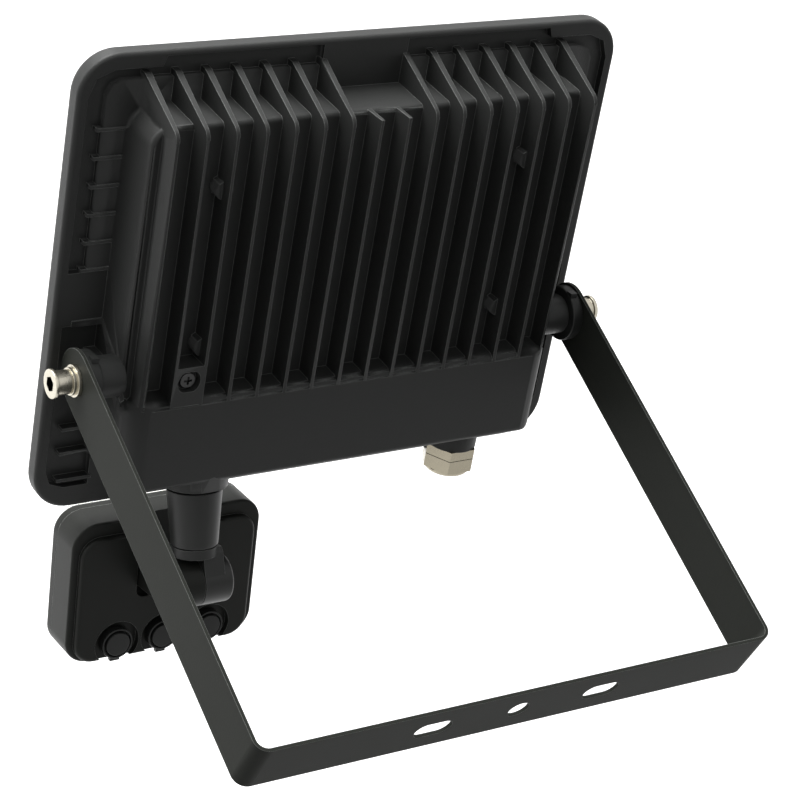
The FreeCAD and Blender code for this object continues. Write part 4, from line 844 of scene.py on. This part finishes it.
class FLOODLIGHT_OT_sensor_lens(bpy.types.Operator):
    """The sensor's bowed lens"""
    bl_idname = "floodlight.sensor_lens"
    bl_label = "Sensor lens"

    def execute(self, context):
        look = context.scene.floodlight_finishes
        finished("sensor_lens_facets", lens_form(context.scene.floodlight_lens), HEAD, "sensor",
                 lens_material(look.lens_colour), ["sensor_lens"])
        return {"FINISHED"}


# Studio, with the camera's place and axes as the photograph was taken

VIEW_FROM = Vector((-0.4593, -0.2920, 0.6580))
VIEW_ALONG = Vector((0.51985, 0.45335, -0.72403))
VIEW_RIGHT = Vector((0.84421, -0.40225, 0.35427))
VIEW_DOWN = Vector((-0.13063, -0.79540, -0.59184))
AIM = Vector((0.0, 0.11, 0.0))


def only_for_light(tree, place, seen, unseen):
    """Gives one value to what the camera, mirrors and glass see, and another to the light itself."""
    path = add_node(tree, "ShaderNodeLightPath", (place[0] - 800, place[1]))
    total = add_node(tree, "ShaderNodeMath", (place[0] - 600, place[1]), operation="ADD", use_clamp=True)
    wire(tree, path.outputs["Is Camera Ray"], total.inputs[0])
    wire(tree, path.outputs["Is Glossy Ray"], total.inputs[1])
    more = add_node(tree, "ShaderNodeMath", (place[0] - 400, place[1]), operation="ADD", use_clamp=True)
    wire(tree, total.outputs[0], more.inputs[0])
    wire(tree, path.outputs["Is Transmission Ray"], more.inputs[1])
    value = add_node(tree, "ShaderNodeMath", (place[0] - 200, place[1]), operation="MULTIPLY_ADD")
    wire(tree, more.outputs[0], value.inputs[0])
    value.inputs[1].default_value = seen - unseen
    value.inputs[2].default_value = unseen
    return value.outputs[0]


def soft_light(name, direction, distance, size, power):
    """A square soft box that faces the object."""
    data = bpy.data.lights.new(name, "AREA")
    data.shape = "SQUARE"
    data.size = size
    data.energy = power
    lamp = bpy.data.objects.new(name, data)
    way = direction.normalized()
    turn = way.to_track_quat("Z", "Y").to_matrix().to_4x4()
    lamp.matrix_world = Matrix.Translation(AIM + way * distance) @ turn
    bpy.context.scene.collection.objects.link(lamp)
    return lamp


def pale_floor(level):
    bm = bmesh.new()
    bmesh.ops.create_grid(bm, x_segments=8, y_segments=8, size=4.0)
    bmesh.ops.translate(bm, verts=bm.verts, vec=(0, 0, level))
    mesh = bpy.data.meshes.new("studio_floor")
    bm.to_mesh(mesh)
    bm.free()
    floor = bpy.data.objects.new("studio_floor", mesh)
    bpy.context.scene.collection.objects.link(floor)
    mat = bpy.data.materials.new("Pale floor")
    mat.use_nodes = True
    tree = mat.node_tree
    shader = tree.nodes["Principled BSDF"]
    shader.inputs["Base Color"].default_value = (0.6, 0.6, 0.6, 1)
    shader.inputs["Roughness"].default_value = 0.9
    shader.inputs["Specular IOR Level"].default_value = 0.0
    shader.inputs["Emission Color"].default_value = (1, 1, 1, 1)
    wire(tree, only_for_light(tree, (-200, -300), 0.9, 0.0), shader.inputs["Emission Strength"])
    mesh.materials.append(mat)


def studio_world():
    world = bpy.data.worlds.new("Studio")
    world.use_nodes = True
    tree = world.node_tree
    back = tree.nodes["Background"]
    back.inputs["Color"].default_value = (1, 1, 1, 1)
    wire(tree, only_for_light(tree, (-200, 0), 1.0, 0.12), back.inputs["Strength"])
    bpy.context.scene.world = world


def studio_camera(lens_mm):
    data = bpy.data.cameras.new("View")
    data.lens = lens_mm
    data.sensor_width = 36.0
    data.clip_start = 0.05
    data.clip_end = 20.0
    camera = bpy.data.objects.new("View", data)
    turn = Matrix((VIEW_RIGHT, -VIEW_DOWN, -VIEW_ALONG)).transposed().to_4x4()
    camera.matrix_world = Matrix.Translation(VIEW_FROM) @ turn
    bpy.context.scene.collection.objects.link(camera)
    bpy.context.scene.camera = camera


class FLOODLIGHT_OT_studio(bpy.types.Operator):
    """Floor, lamps, world and camera"""
    bl_idname = "floodlight.studio"
    bl_label = "Studio"

    def execute(self, context):
        studio = context.scene.floodlight_studio
        studio_camera(studio.lens_mm)
        pale_floor(CAD_BOX[0][2] - studio.floor_drop)
        studio_world()
        up, left, back = -VIEW_DOWN, -VIEW_RIGHT, -VIEW_ALONG
        soft_light("Top light", up + back * 0.25 + left * 0.2, 1.1, 0.9, studio.key_power)
        soft_light("Left light", left + up * 0.55 + back * 0.35, 1.2, 0.8, studio.side_power)
        soft_light("Front fill", back + up * 0.35 - left * 0.3, 1.6, 1.2, studio.fill_power)
        context.scene.view_settings.view_transform = "Standard"
        return {"FINISHED"}


# Panel and registration

class FLOODLIGHT_PT_panel(bpy.types.Panel):
    """Lists the settings and the steps"""
    bl_label = "Floodlight"
    bl_idname = "FLOODLIGHT_PT_panel"
    bl_space_type = "VIEW_3D"
    bl_region_type = "UI"
    bl_category = "Floodlight"

    def draw(self, context):
        scene = context.scene
        for group in (scene.floodlight_finishes, scene.floodlight_forms, scene.floodlight_lens,
                      scene.floodlight_studio):
            box = self.layout.box()
            for name in group.__annotations__:
                box.prop(group, name)
        for step in STEPS:
            self.layout.operator(step.bl_idname)


STEPS = (FLOODLIGHT_OT_casting, FLOODLIGHT_OT_pivots, FLOODLIGHT_OT_neck, FLOODLIGHT_OT_knobs,
         FLOODLIGHT_OT_coats, FLOODLIGHT_OT_hardware, FLOODLIGHT_OT_plastics, FLOODLIGHT_OT_light_engine,
         FLOODLIGHT_OT_sensor_lens, FLOODLIGHT_OT_studio)
CLASSES = (FloodlightFinishes, FloodlightForms, FloodlightLens, FloodlightStudio, *STEPS, FLOODLIGHT_PT_panel)


def register():
    for item in CLASSES:
        bpy.utils.register_class(item)
    bpy.types.Scene.floodlight_finishes = PointerProperty(type=FloodlightFinishes)
    bpy.types.Scene.floodlight_forms = PointerProperty(type=FloodlightForms)
    bpy.types.Scene.floodlight_lens = PointerProperty(type=FloodlightLens)
    bpy.types.Scene.floodlight_studio = PointerProperty(type=FloodlightStudio)


def unregister():
    del bpy.types.Scene.floodlight_studio
    del bpy.types.Scene.floodlight_lens
    del bpy.types.Scene.floodlight_forms
    del bpy.types.Scene.floodlight_finishes
    for item in reversed(CLASSES):
        bpy.utils.unregister_class(item)


def main():
    register()
    bpy.ops.floodlight.casting()
    bpy.ops.floodlight.pivots()
    bpy.ops.floodlight.neck()
    bpy.ops.floodlight.knobs()
    bpy.ops.floodlight.coats()
    bpy.ops.floodlight.hardware()
    bpy.ops.floodlight.plastics()
    bpy.ops.floodlight.light_engine()
    bpy.ops.floodlight.sensor_lens()
    bpy.ops.floodlight.studio()


if __name__ == "__main__":
    main()
